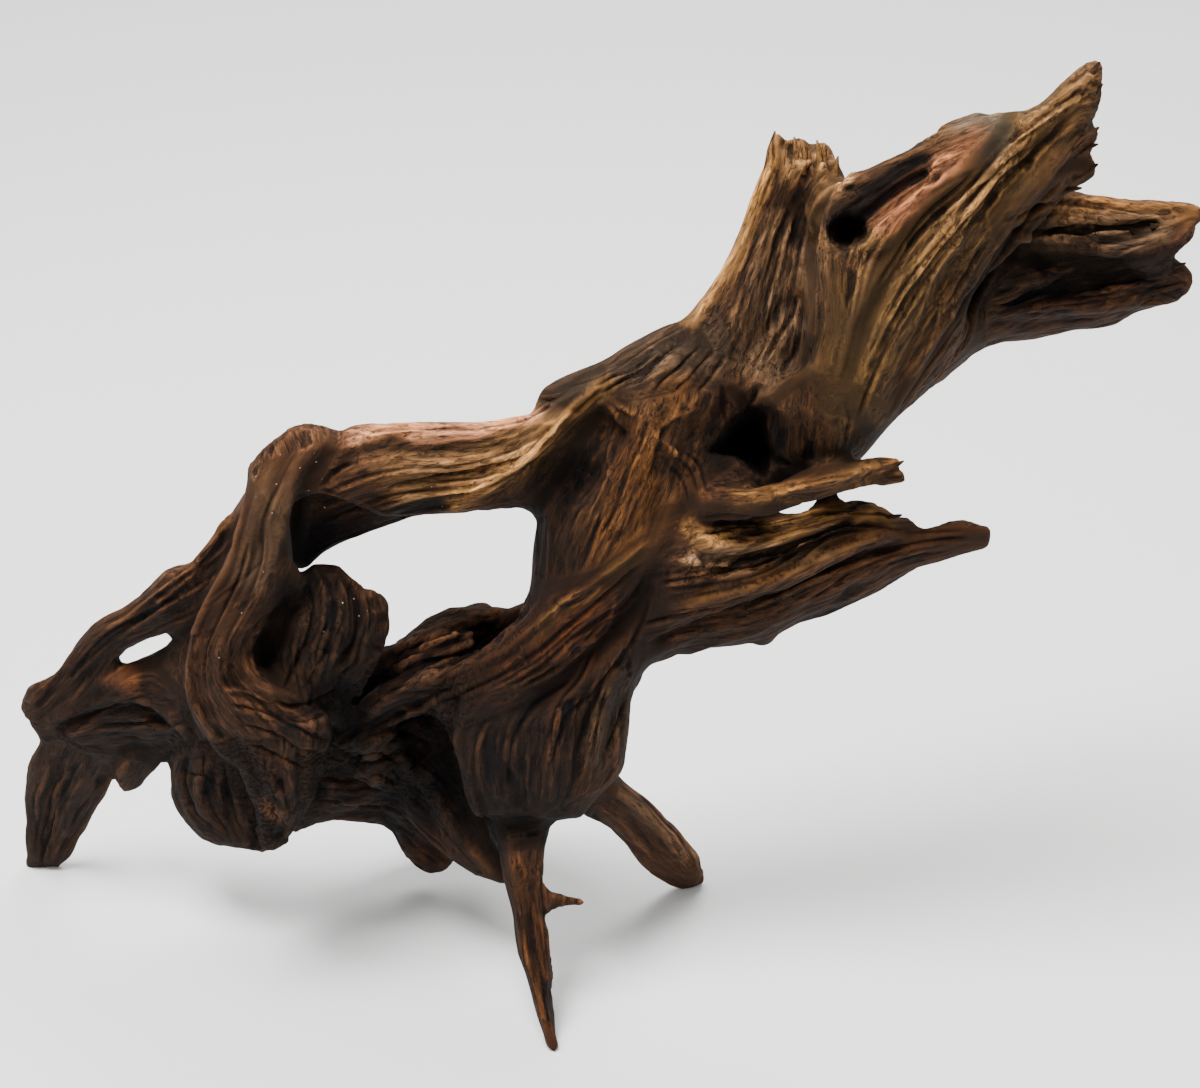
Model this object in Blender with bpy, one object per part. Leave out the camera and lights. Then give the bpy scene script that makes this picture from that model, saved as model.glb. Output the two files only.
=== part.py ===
"""Mangrove driftwood: one gnarled root and trunk stump that stands on three feet.

The wood is laid out on a tracing grid, as it looks from the front and a little above. Each limb
is a loft between two traced edges, with a distance towards the back and a half thickness. The
lofts are fused into one solid, filleted where they grow together, carved, and thinned to facets.
"""

import math
import random

import bmesh
import bpy
import numpy as np
from mathutils import Vector
from mathutils.bvhtree import BVHTree
from mathutils.kdtree import KDTree

# Driving dimensions, in metres.
SPAN = 0.5875
VIEW_DISTANCE = 1.5
VIEW_ELEVATION = math.radians(30)
VOXEL = 0.0021
FILLET = 0.003
SWELL = 0.0004
FOOT_FLAT = 0.0012
ROUGH_FACETS = 60000
FACETS = 11500

# The three tips it stands on: grid x, y and distance behind the middle in metres.
FOOT_TIPS = [(552, 1044, -0.098), (41, 866, 0.058), (694, 882, 0.040)]
FOOT_REACH = 0.03

# The tracing grid: x to the right, y down, with the line of sight through its middle.
GRID_SPAN = 1175
GRID_MIDDLE = (600.2, 543.4)
UNIT = SPAN / GRID_SPAN
MM = 0.001

TO_VIEWER = Vector((0, -math.cos(VIEW_ELEVATION), math.sin(VIEW_ELEVATION)))
GRID_UP = Vector((0, math.sin(VIEW_ELEVATION), math.cos(VIEW_ELEVATION)))
EYE = TO_VIEWER * VIEW_DISTANCE

# Each station of a limb: left edge x, y, right edge x, y on the grid, then the distance behind
# the middle of the wood and the half thickness along the line of sight, both in millimetres.
LIMBS = {
    "horn": [
        (1093, 60, 1103, 66, -4, 2.5),
        (1078, 73, 1103, 88, -4, 6),
        (1050, 97, 1096, 113, -4, 11),
        (1028, 112, 1086, 137, -4, 16),
        (1007, 114, 1074, 154, -3, 20),
        (960, 122, 1064, 190, -2, 25),
        (913, 151, 1038, 226, -2, 29),
        (868, 173, 1006, 256, -3, 32),
        (832, 196, 970, 296, -4, 35),
        (812, 250, 958, 343, -6, 37),
        (806, 310, 934, 383, -7, 37),
        (795, 370, 903, 411, -7, 34),
        (772, 410, 879, 436, -5, 30),
        (772, 450, 858, 462, -2, 24),
        (780, 488, 836, 486, 2, 16),
    ],
    "horn_upper_lobe": [
        (1040, 136, 1062, 176, 2, 10),
        (1066, 132, 1082, 158, 2, 8),
        (1083, 124, 1095, 144, 2, 6),
        (1093, 122, 1103, 134, 2, 3.5),
    ],
    "horn_lower_lobe": [
        (1036, 166, 1050, 204, 4, 9),
        (1064, 158, 1076, 188, 4, 7),
        (1082, 156, 1090, 180, 4, 6),
        (1095, 157, 1099, 170, 4, 3.5),
    ],
    "stub": [
        (766, 158, 840, 168, 18, 13),
        (760, 180, 838, 190, 17, 16),
        (750, 208, 834, 220, 16, 18),
        (736, 243, 826, 258, 14, 20),
        (718, 277, 820, 305, 11, 22),
        (696, 306, 815, 350, 8, 25),
        (672, 336, 800, 395, 4, 28),
        (640, 372, 780, 440, 0, 30),
    ],
    "stub_splinter_left": [
        (765, 172, 792, 174, 16, 7),
        (768, 150, 788, 154, 15, 5),
        (772, 131, 783, 132, 14, 3),
    ],
    "stub_splinter_middle": [
        (788, 172, 814, 176, 20, 7),
        (790, 152, 811, 155, 21, 5),
        (792, 135, 806, 136, 21, 3),
    ],
    "stub_splinter_right": [
        (812, 178, 846, 184, 22, 8),
        (815, 160, 838, 163, 22, 6),
        (818, 141, 829, 141, 22, 3),
    ],
    "right_limb_top": [
        (950, 200, 960, 300, 38, 20),
        (1005, 194, 1012, 262, 42, 20),
        (1055, 188, 1065, 252, 44, 19),
        (1100, 196, 1105, 254, 44, 17),
        (1140, 201, 1142, 240, 42, 13),
        (1170, 201, 1172, 228, 38, 9),
        (1190, 203, 1191, 224, 33, 5),
        (1205, 209, 1205, 221, 32, 3),
    ],
    "right_limb_middle": [
        (1090, 240, 1100, 296, 30, 13),
        (1130, 243, 1142, 288, 28, 12),
        (1154, 233, 1168, 266, 27, 9),
        (1178, 223, 1182, 247, 24, 5),
        (1192, 228, 1193, 240, 24, 3),
    ],
    "right_limb_bottom": [
        (880, 300, 880, 408, 24, 26),
        (940, 270, 935, 386, 30, 28),
        (985, 255, 985, 347, 34, 28),
        (1030, 244, 1035, 339, 37, 26),
        (1070, 246, 1075, 330, 38, 23),
        (1105, 250, 1110, 325, 38, 20),
        (1135, 252, 1142, 309, 33, 14),
        (1160, 262, 1163, 306, 32, 10),
        (1181, 262, 1179, 300, 31, 7),
        (1190, 270, 1189, 290, 31, 4),
    ],
    "crown_slab": [
        (700, 318, 690, 400, 8, 20),
        (665, 327, 650, 395, 6, 16),
        (630, 344, 618, 390, 4, 12),
        (594, 365, 592, 396, 3, 9),
        (565, 377, 568, 405, 2, 7),
        (544, 387, 550, 410, 2, 6),
        (536, 396, 540, 407, 2, 3),
    ],
    "torso": [
        (640, 345, 800, 372, 2, 26),
        (612, 372, 800, 405, 0, 30),
        (590, 405, 790, 450, -2, 33),
        (565, 450, 765, 510, -4, 35),
        (540, 505, 740, 560, -6, 38),
        (533, 560, 696, 608, -8, 37),
        (526, 604, 655, 652, -12, 35),
        (488, 652, 638, 682, -16, 33),
        (444, 686, 633, 703, -20, 29),
        (444, 718, 628, 738, -24, 27),
        (458, 752, 622, 770, -31, 25),
        (464, 786, 598, 798, -36, 23),
        (474, 812, 580, 818, -38, 18),
    ],
    "arch": [
        (650, 345, 620, 520, 0, 28),
        (600, 372, 575, 516, -4, 26),
        (560, 398, 538, 508, -8, 23),
        (520, 419, 505, 508, -12, 21),
        (470, 424, 463, 513, -15, 20),
        (420, 422, 425, 515, -17, 19),
        (372, 428, 385, 515, -19, 19),
        (342, 433, 350, 502, -21, 19),
        (316, 424, 322, 492, -23, 18),
        (294, 425, 300, 498, -24, 16),
        (273, 441, 282, 498, -24, 12),
    ],
    "arch_lining": [
        (282, 470, 288, 560, 4, 8),
        (300, 470, 302, 571, 4, 9),
        (330, 468, 335, 546, 2, 9),
        (370, 470, 375, 530, 0, 9),
        (420, 470, 420, 516, -4, 9),
        (470, 470, 470, 512, -6, 9),
    ],
    "front_limb": [
        (286, 430, 336, 442, -24, 11),
        (260, 455, 322, 478, -27, 15),
        (250, 478, 304, 495, -30, 16),
        (242, 505, 288, 512, -33, 16),
        (236, 530, 291, 540, -36, 15),
        (228, 560, 290, 568, -39, 15),
        (215, 590, 280, 600, -42, 14),
        (198, 618, 262, 628, -44, 14),
        (187, 650, 250, 655, -45, 14),
        (185, 685, 264, 672, -45, 14),
        (194, 717, 292, 688, -45, 15),
        (214, 744, 326, 716, -45, 16),
        (238, 764, 328, 742, -44, 16),
        (250, 795, 318, 785, -42, 15),
        (258, 830, 303, 818, -39, 12),
        (264, 853, 287, 843, -36, 7),
    ],
    "front_limb_knot": [
        (245, 464, 264, 458, -22, 5),
        (250, 482, 274, 476, -24, 7),
        (258, 500, 284, 494, -26, 8),
    ],
    "ear": [
        (312, 563, 344, 562, -24, 4),
        (296, 574, 350, 573, -24, 6),
        (276, 588, 369, 587, -25, 8),
        (262, 606, 390, 603, -26, 10),
        (254, 632, 392, 628, -27, 11),
        (250, 660, 380, 656, -27, 11),
        (256, 692, 360, 692, -25, 12),
        (280, 722, 345, 722, -18, 13),
    ],
    "ear_knob": [
        (280, 566, 288, 584, -36, 4),
        (286, 562, 300, 588, -38, 6),
        (298, 568, 308, 586, -36, 5),
    ],
    "ear_fold": [
        (262, 690, 272, 706, -34, 5),
        (272, 668, 292, 700, -37, 8),
        (284, 640, 312, 690, -38, 10),
        (300, 612, 330, 660, -37, 9),
        (318, 596, 342, 628, -34, 6),
    ],
    "back_limb": [
        (258, 470, 292, 500, -20, 12),
        (240, 503, 266, 540, -14, 13),
        (220, 528, 248, 575, -6, 14),
        (193, 560, 224, 605, 2, 14),
        (163, 572, 188, 632, 8, 15),
        (140, 597, 158, 643, 14, 13),
        (116, 612, 136, 656, 18, 12),
        (92, 625, 120, 656, 22, 11),
        (72, 650, 112, 680, 26, 11),
        (52, 675, 92, 706, 29, 11),
        (27, 686, 70, 726, 31, 10),
        (20, 702, 44, 740, 33, 6),
    ],
    "left_core": [
        (126, 672, 140, 696, 24, 7),
        (150, 660, 155, 714, 22, 12),
        (174, 642, 176, 738, 19, 17),
        (198, 624, 202, 760, 15, 20),
        (232, 622, 232, 780, 10, 22),
        (272, 640, 270, 800, 6, 24),
        (310, 660, 305, 820, 8, 26),
    ],
    "left_knuckle": [
        (104, 692, 116, 664, 22, 6),
        (114, 698, 132, 664, 20, 7),
        (128, 706, 146, 680, 20, 7),
    ],
    "left_blade": [
        (140, 686, 212, 748, 18, 9),
        (88, 704, 168, 746, 26, 9),
        (46, 734, 134, 766, 36, 9),
        (30, 758, 118, 778, 42, 9),
        (23, 790, 101, 805, 48, 8),
        (24, 822, 86, 829, 53, 7),
        (24, 851, 70, 855, 56, 6),
        (27, 884, 54, 884, 60, 4),
    ],
    "left_blade_lobe": [
        (140, 716, 196, 742, 20, 8),
        (116, 744, 176, 746, 24, 7),
        (112, 764, 163, 762, 27, 7),
        (116, 780, 150, 778, 30, 5),
        (121, 793, 140, 791, 32, 3),
    ],
    "lower_left_lump": [
        (190, 735, 262, 745, 14, 18),
        (176, 760, 264, 765, 14, 20),
        (172, 785, 266, 790, 14, 21),
        (176, 806, 270, 808, 12, 21),
        (188, 823, 272, 826, 10, 19),
        (203, 839, 272, 843, 6, 14),
        (226, 844, 268, 852, 2, 7),
    ],
    "root_mass": [
        (300, 690, 292, 832, 12, 26),
        (340, 680, 332, 820, 18, 30),
        (375, 656, 375, 823, 24, 34),
        (405, 644, 405, 832, 28, 36),
        (435, 628, 435, 838, 30, 40),
        (470, 615, 470, 846, 28, 42),
        (505, 611, 500, 846, 24, 42),
        (540, 620, 530, 800, 18, 38),
    ],
    "root_mass_shoulder": [
        (374, 650, 380, 690, -4, 9),
        (396, 646, 402, 690, 0, 12),
        (420, 624, 424, 680, 6, 14),
        (440, 613, 448, 664, 10, 14),
        (468, 607, 470, 650, 10, 13),
        (505, 613, 505, 640, 6, 13),
        (538, 592, 560, 640, 0, 13),
    ],
    "root_mass_front": [
        (356, 712, 378, 734, -14, 6),
        (378, 688, 402, 718, -18, 9),
        (404, 674, 424, 712, -20, 11),
        (430, 666, 448, 712, -20, 12),
        (462, 664, 474, 722, -20, 12),
    ],
    "root_mass_fold": [
        (396, 655, 402, 676, -8, 6),
        (420, 644, 428, 668, -10, 8),
        (446, 634, 456, 660, -12, 8),
        (474, 628, 482, 652, -12, 8),
    ],
    "root_mass_lobe": [
        (326, 728, 330, 768, -10, 8),
        (352, 722, 360, 778, -12, 12),
        (382, 730, 388, 786, -12, 12),
        (408, 744, 412, 788, -10, 10),
    ],
    "under_root": [
        (424, 716, 368, 766, 8, 14),
        (448, 756, 400, 806, 2, 14),
        (472, 798, 430, 842, -6, 13),
        (490, 832, 455, 860, -14, 12),
        (506, 862, 476, 874, -22, 10),
        (512, 886, 496, 882, -30, 5),
    ],
    "under_lump": [
        (386, 796, 458, 806, 30, 18),
        (393, 830, 462, 838, 32, 18),
        (402, 852, 456, 856, 34, 14),
        (415, 865, 448, 867, 35, 9),
        (427, 873, 441, 872, 36, 4),
    ],
    "spike": [
        (486, 780, 556, 790, -22, 14),
        (494, 825, 549, 825, -31, 14),
        (500, 855, 544, 852, -42, 13),
        (504, 882, 543, 882, -52, 12),
        (510, 905, 541, 908, -59, 11),
        (515, 930, 547, 928, -66, 10),
        (519, 955, 550, 952, -73, 10),
        (528, 980, 550, 978, -80, 9),
        (535, 1003, 552, 1000, -87, 7),
        (541, 1025, 556, 1022, -93, 6),
        (545, 1040, 559, 1037, -98, 6),
        (549, 1056, 560, 1054, -103, 3),
    ],
    "spike_twig": [
        (536, 876, 530, 910, -54, 6),
        (548, 890, 544, 911, -56, 5),
        (558, 893, 560, 908, -57, 4),
        (572, 897, 572, 906, -58, 3),
        (588, 898, 588, 906, -58, 2.5),
    ],
    "rear_root": [
        (596, 750, 566, 796, -18, 15),
        (620, 776, 585, 814, -4, 14),
        (645, 797, 610, 828, 6, 13),
        (666, 819, 629, 850, 15, 12),
        (687, 840, 646, 870, 24, 11),
        (700, 858, 666, 882, 32, 9),
        (706, 873, 682, 889, 38, 7),
        (706, 882, 694, 890, 42, 4),
    ],
    "lower_limb": [
        (640, 500, 600, 676, -14, 30),
        (680, 488, 644, 666, -14, 32),
        (715, 496, 684, 650, -14, 32),
        (750, 512, 724, 645, -12, 28),
        (790, 512, 764, 640, -12, 26),
        (820, 505, 797, 623, -12, 24),
        (850, 499, 830, 612, -12, 21),
        (880, 506, 864, 597, -13, 19),
        (900, 520, 894, 581, -12, 15),
        (922, 531, 919, 567, -11, 10),
        (945, 524, 945, 560, -10, 8),
        (968, 522, 968, 554, -9, 7),
        (992, 527, 990, 547, -8, 5),
    ],
    "lower_limb_heel": [
        (738, 600, 730, 646, -12, 17),
        (756, 606, 752, 643, -13, 12),
        (774, 614, 770, 648, -13, 9),
    ],
    "broken_branch": [
        (700, 484, 694, 524, -30, 14),
        (738, 490, 732, 521, -37, 11),
        (770, 485, 772, 514, -39, 9),
        (800, 474, 808, 503, -38, 8),
        (832, 467, 840, 494, -36, 7),
        (866, 461, 872, 488, -34, 7),
        (896, 457, 905, 484, -32, 5),
    ],
}

# Strokes of the gouge: height and reach in millimetres, then grid points. A negative height cuts
# a groove or a hollow, a positive one leaves a ridge standing.
CARVING = {
    "horn": [
        (-5, 9, [(803, 232), (808, 270), (812, 310), (811, 338), (803, 358), (790, 372)]),
        (3, 8, [(826, 262), (834, 295), (834, 330), (826, 362), (815, 395)]),
        (3.5, 8, [(1088, 72), (1062, 96), (1030, 128), (996, 166),
                  (962, 206), (930, 246), (900, 290), (880, 335)]),
        (-3.5, 6, [(1026, 118), (1004, 142), (986, 164), (956, 196),
                   (924, 232), (893, 276), (866, 322), (845, 385)]),
        (-3, 6, [(1078, 108), (1046, 142), (1014, 178), (984, 218),
                 (956, 262), (930, 310), (908, 356), (890, 410)]),
        (3, 6, [(1076, 140), (1046, 176), (1018, 210), (990, 250), (962, 296), (936, 340), (910, 384)]),
        (-3, 6, [(1060, 182), (1030, 214), (1002, 250), (974, 292), (946, 334), (918, 378)]),
        (3, 7, [(905, 150), (940, 137), (975, 124), (1008, 116)]),
        (2.5, 7, [(985, 165), (950, 178), (915, 200), (884, 226)]),
        (-16, 17, [(842, 224), (866, 206), (894, 190), (918, 171)]),
        (3.5, 5, [(832, 206), (850, 184), (882, 168), (912, 154), (934, 149)]),
        (3.5, 6, [(866, 252), (886, 232), (902, 212), (924, 190), (944, 160)]),
        (2.5, 5, [(816, 232), (814, 212), (824, 194), (846, 182), (872, 178), (900, 163)]),
        (-5, 4, [(1078, 134), (1060, 150)]),
        (-5, 4, [(1080, 160), (1066, 168), (1052, 178)]),
        (-3, 5, [(848, 262), (866, 256), (884, 262)]),
        (3, 8, [(776, 398), (800, 374), (822, 362)]),
    ],
    "stub": [
        (-9, 20, [(798, 205), (788, 240), (778, 285), (768, 330), (752, 368)]),
        (2.5, 6, [(766, 172), (752, 212), (738, 246), (720, 282), (702, 316), (688, 336)]),
        (-4, 5, [(797, 296), (782, 328), (764, 360)]),
        (-4, 5, [(800, 308), (797, 345), (780, 372)]),
        (-3, 4, [(780, 160), (776, 190), (766, 230)]),
        (-4, 4, [(790, 148), (788, 172)]),
        (-4, 4, [(812, 154), (810, 186)]),
    ],
    "crown": [
        (-4, 5, [(722, 388), (725, 425)]),
        (-4, 5, [(757, 385), (745, 415)]),
        (-3, 4, [(640, 372), (668, 350), (692, 334)]),
        (-3, 4, [(655, 392), (682, 368), (706, 346)]),
        (-3, 4, [(690, 392), (706, 370), (722, 350)]),
        (-6, 7, [(545, 414), (575, 404), (600, 393), (625, 381)]),
        (3, 4, [(606, 404), (618, 418), (630, 430)]),
        (-3, 4, [(598, 412), (610, 424), (622, 438)]),
        (3, 6, [(655, 435), (672, 452), (690, 470)]),
        (-3, 4, [(676, 458), (692, 474), (698, 494)]),
        (-3, 4, [(694, 450), (706, 470), (714, 494)]),
        (4, 18, [(815, 400), (822, 440), (815, 478)]),
        (-9, 24, [(712, 446), (742, 428), (764, 440)]),
        (4, 8, [(764, 390), (784, 412), (792, 442), (788, 474)]),
    ],
    "hub": [
        (-13, 24, [(602, 424), (578, 452), (558, 482)]),
        (-5, 8, [(590, 470), (566, 500), (556, 530)]),
        (4, 10, [(642, 395), (641, 440), (632, 490), (618, 530)]),
        (-3, 6, [(664, 480), (652, 520), (640, 545)]),
    ],
    "arch": [
        (4.5, 9, [(606, 384), (580, 402), (556, 426), (532, 452), (500, 474), (466, 496), (440, 510)]),
        (3, 6, [(566, 420), (540, 440), (516, 454), (486, 462), (440, 466), (400, 472)]),
        (-4, 6, [(548, 432), (520, 446), (480, 450), (430, 450), (370, 452), (330, 462)]),
        (-4, 6, [(528, 460), (498, 468), (460, 474), (420, 484), (380, 496), (350, 506)]),
        (3, 6, [(500, 482), (440, 494), (400, 506), (375, 518)]),
        (3, 6, [(345, 432), (385, 428), (430, 427), (480, 429), (530, 418)]),
        (-3, 5, [(356, 458), (332, 474), (318, 490)]),
    ],
    "torso": [
        (3.5, 15, [(652, 538), (628, 556), (600, 577), (562, 605),
                   (530, 630), (505, 652), (478, 666), (450, 676)]),
        (-5, 7, [(530, 610), (512, 622), (494, 638), (466, 654), (440, 668)]),
        (-4, 14, [(640, 590), (612, 630), (572, 668), (532, 700)]),
        (3, 6, [(437, 700), (452, 720), (464, 752), (474, 800), (488, 838)]),
        (-6, 7, [(424, 712), (440, 742), (452, 790), (470, 835)]),
        (2.5, 5, [(622, 588), (612, 615), (597, 634), (574, 650), (545, 668)]),
        (-4, 6, [(655, 575), (632, 612), (596, 655), (560, 690), (520, 720)]),
        (-3.5, 5, [(627, 690), (614, 728), (604, 762)]),
        (3, 5, [(612, 680), (600, 722), (594, 770)]),
        (-3.5, 5, [(590, 685), (584, 730), (574, 790)]),
        (-4, 8, [(505, 770), (520, 800), (530, 822)]),
        (3, 6, [(560, 700), (552, 750), (548, 810)]),
        (3, 5, [(500, 700), (510, 740), (516, 776)]),
    ],
    "lower_limb": [
        (5, 7, [(700, 540), (740, 544), (776, 538), (810, 526), (850, 512)]),
        (-8, 7, [(690, 562), (740, 564), (786, 554), (824, 538), (862, 522)]),
        (4, 7, [(668, 612), (700, 600), (744, 590), (786, 576), (820, 556), (862, 538), (900, 532)]),
        (-8, 7, [(655, 645), (700, 628), (742, 612), (790, 596), (826, 578), (862, 560), (905, 545)]),
        (3, 6, [(660, 660), (705, 644), (755, 630), (800, 610)]),
        (-8, 7, [(712, 528), (760, 526), (800, 518), (832, 508), (862, 498)]),
        (3, 4, [(750, 574), (758, 590)]),
    ],
    "broken_branch": [
        (2.5, 4, [(730, 500), (780, 490), (830, 478), (890, 464)]),
        (-2.5, 4, [(740, 508), (790, 500), (850, 484), (892, 474)]),
    ],
    "right_limb": [
        (-4, 5, [(1005, 222), (1060, 208), (1120, 210), (1188, 213)]),
        (3, 4, [(1030, 230), (1075, 219), (1130, 219), (1180, 217)]),
        (-4, 5, [(1010, 238), (1060, 230), (1110, 230), (1165, 228)]),
        (-10, 9, [(1030, 256), (1070, 264), (1104, 268), (1128, 266)]),
        (4, 5, [(1024, 236), (1062, 244), (1105, 252), (1150, 246)]),
        (-9, 9, [(1050, 290), (1100, 284), (1150, 280)]),
        (3, 6, [(1000, 308), (1050, 309), (1100, 306), (1150, 298)]),
        (-3, 5, [(985, 322), (1040, 324), (1100, 318)]),
        (-14, 9, [(962, 304), (980, 282), (1006, 254), (1036, 226), (1052, 206)]),
        (-4, 4, [(1182, 257), (1172, 259), (1162, 261)]),
        (-5, 4, [(1186, 224), (1160, 238)]),
        (-5, 4, [(1168, 303), (1150, 285)]),
    ],
    "front_limb": [
        (2.5, 5, [(246, 500), (236, 540), (226, 572), (206, 606),
                  (194, 636), (188, 668), (190, 695), (202, 722)]),
        (2.5, 5, [(202, 722), (222, 748), (240, 768)]),
        (-4, 5, [(262, 530), (252, 560), (236, 590), (214, 614),
                 (202, 642), (198, 672), (202, 700), (216, 726)]),
        (-4, 5, [(216, 726), (240, 748), (256, 776), (262, 820)]),
        (3, 5, [(284, 520), (272, 560), (262, 590), (240, 622),
                (222, 650), (218, 680), (236, 704), (270, 718)]),
        (3, 5, [(270, 718), (300, 736), (314, 756)]),
        (-4, 5, [(292, 600), (270, 616), (246, 640), (230, 664), (232, 686), (258, 702), (290, 712)]),
        (3, 4, [(262, 640), (250, 664), (258, 684), (290, 696), (318, 716)]),
        (3, 5, [(266, 756), (280, 790), (284, 822)]),
        (-4, 5, [(296, 744), (298, 780), (290, 815)]),
        (-3, 5, [(300, 438), (282, 466), (270, 500), (268, 535)]),
        (2.5, 5, [(316, 436), (298, 462), (286, 492), (284, 520)]),
        (-5, 6, [(330, 450), (312, 472), (300, 500), (296, 540)]),
        (-5, 4, [(334, 736), (312, 743)]),
        (-6, 5, [(258, 854), (256, 822), (250, 792)]),
        (-6, 5, [(281, 850), (277, 816), (271, 790)]),
        (-6, 5, [(304, 834), (299, 800)]),
        (-5, 4, [(322, 758), (305, 764)]),
        (-5, 4, [(322, 786), (306, 790)]),
    ],
    "ear": [
        (-4, 5, [(306, 590), (318, 610), (312, 640), (296, 665)]),
        (3, 5, [(326, 585), (338, 610), (334, 645), (318, 672)]),
        (-4, 5, [(350, 588), (356, 615), (350, 645), (338, 668)]),
        (3, 4, [(368, 600), (370, 625), (362, 650)]),
        (-4, 4, [(284, 700), (300, 712), (325, 708), (340, 694)]),
        (3, 4, [(288, 684), (306, 696), (328, 690)]),
        (-9, 9, [(334, 682), (348, 700), (356, 716)]),
        (-6, 4, [(331, 560), (328, 580)]),
        (-6, 4, [(349, 572), (338, 592)]),
        (-6, 4, [(364, 580), (352, 600)]),
        (-6, 4, [(380, 598), (364, 612)]),
        (-6, 4, [(392, 616), (372, 626)]),
        (-6, 4, [(388, 642), (368, 644)]),
    ],
    "back_limb": [
        (-4, 5, [(246, 508), (222, 545), (196, 580), (165, 600),
                 (130, 622), (95, 650), (60, 680), (36, 704)]),
        (3, 5, [(240, 495), (212, 548), (180, 582), (140, 612), (100, 636), (70, 664), (44, 690)]),
        (-4, 5, [(236, 540), (214, 575), (190, 606), (170, 622)]),
        (3, 4, [(145, 598), (158, 596), (164, 608), (154, 616), (144, 608)]),
        (-4, 4, [(110, 655), (84, 680), (56, 705), (34, 722)]),
    ],
    "left_plates": [
        (-6, 5, [(60, 728), (100, 712), (136, 706), (170, 724)]),
        (3, 5, [(56, 716), (96, 700), (136, 696), (172, 714), (195, 738)]),
        (-4, 5, [(60, 750), (52, 790), (46, 830), (40, 860)]),
        (3, 5, [(84, 752), (74, 795), (60, 840)]),
        (-4, 5, [(120, 750), (98, 790)]),
        (-5, 5, [(112, 765), (128, 750), (150, 742)]),
        (-3, 4, [(150, 750), (140, 772)]),
        (-3, 5, [(190, 752), (186, 790), (196, 818)]),
        (3, 5, [(204, 756), (202, 796), (212, 826)]),
        (-5, 5, [(224, 775), (224, 805), (236, 836)]),
    ],
    "root_mass": [
        (4, 7, [(372, 668), (396, 656), (420, 640), (448, 628), (476, 618), (510, 614)]),
        (-6, 6, [(380, 690), (404, 676), (430, 664), (462, 650), (500, 636)]),
        (4, 6, [(368, 712), (392, 694), (418, 682), (444, 678)]),
        (-6, 6, [(372, 728), (396, 712), (420, 702)]),
        (4, 6, [(330, 740), (360, 745), (390, 730), (420, 722)]),
        (-6, 7, [(325, 775), (360, 768), (395, 755), (425, 748)]),
        (4, 6, [(330, 800), (365, 795), (398, 780)]),
        (-8, 8, [(396, 802), (404, 812)]),
        (-8, 8, [(430, 790), (448, 780)]),
        (-5, 5, [(345, 815), (372, 808), (392, 824)]),
        (-6, 5, [(372, 690), (390, 668), (412, 655), (430, 648)]),
        (-5, 5, [(400, 700), (425, 690), (450, 690)]),
        (-5, 5, [(440, 648), (462, 638), (480, 628), (500, 624)]),
        (5, 6, [(395, 672), (420, 662), (448, 655), (470, 650)]),
        (-6, 6, [(455, 690), (452, 720), (446, 750)]),
        (4, 5, [(410, 722), (432, 730), (440, 755)]),
        (-6, 6, [(350, 735), (352, 760), (345, 790)]),
        (4, 5, [(372, 745), (378, 775), (370, 800)]),
        (-5, 5, [(395, 760), (400, 785), (392, 812)]),
        (-5, 5, [(320, 745), (318, 775), (322, 805)]),
        (3, 5, [(420, 760), (440, 800), (462, 840), (490, 868)]),
        (-5, 5, [(404, 775), (424, 815), (446, 850)]),
        (-4, 4, [(410, 835), (430, 850), (450, 858)]),
    ],
    "spike": [
        (3, 4, [(510, 835), (516, 870), (520, 905), (524, 950), (540, 1000), (550, 1030)]),
        (-2.5, 4, [(528, 830), (532, 880), (532, 930), (538, 975)]),
        (2, 3, [(546, 920), (546, 960), (548, 1000)]),
    ],
    "rear_root": [
        (3, 4, [(612, 785), (640, 808), (668, 838), (686, 862)]),
        (-3, 4, [(600, 796), (632, 824), (662, 858)]),
    ],
}

# The far side carries the same run of ridges as the front, a little aside and softer.
FAR_SIDE_SHIFT = (14, -11)
FAR_SIDE_SHARE = 0.9

# Holes: the outline on the grid, then distance behind the middle in millimetres and the scale
# of the outline there.
HOLES = {
    "horn_knot_hole": (
        [(822, 230), (829, 214), (845, 206), (862, 210), (873, 223),
         (872, 238), (858, 248), (841, 251), (827, 244)],
        [(-70, 1), (-30, 1), (-16, 0.75), (-4, 0.35)],
    ),
    "crown_hollow": (
        [(704, 455), (718, 434), (730, 411), (752, 401), (768, 404),
         (774, 436), (779, 458), (770, 486), (752, 474), (732, 459)],
        [(-70, 1), (-28, 1), (-10, 0.8), (6, 0.4)],
    ),
    "left_gap": (
        [(114, 664), (122, 651), (144, 640), (168, 632),
         (178, 633), (170, 644), (150, 655), (130, 664)],
        [(-90, 1), (110, 1)],
    ),
    "upper_finger_notch": (
        [(1108, 110), (1090, 118), (1072, 136), (1082, 136), (1094, 122), (1108, 119)],
        [(-90, 1), (90, 1)],
    ),
    "lower_finger_notch": (
        [(1110, 150), (1094, 155), (1066, 170), (1080, 168), (1096, 161), (1110, 160)],
        [(-90, 1), (90, 1)],
    ),
    "left_splinter_notch": (
        [(783, 126), (784, 146), (786, 160), (789, 150), (790, 126)],
        [(-90, 1), (90, 1)],
    ),
    "right_splinter_notch": (
        [(808, 126), (810, 146), (813, 156), (816, 148), (817, 126)],
        [(-90, 1), (90, 1)],
    ),
    "branch_gap": (
        [(842, 499), (862, 494), (880, 489), (914, 484), (914, 503),
         (896, 505), (886, 507), (868, 500), (850, 501)],
        [(-90, 1), (90, 1)],
    ),
}

# Open ends that snapped off and show a crown of splinters, with the reach of its teeth.
BROKEN_ENDS = {
    "stub": ("start", 0.006),
    "broken_branch": ("end", 0.003),
    "back_limb": ("end", 0.004),
    "rear_root": ("end", 0.004),
    "right_limb_middle": ("end", 0.004),
    "right_limb_bottom": ("end", 0.004),
}

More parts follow.
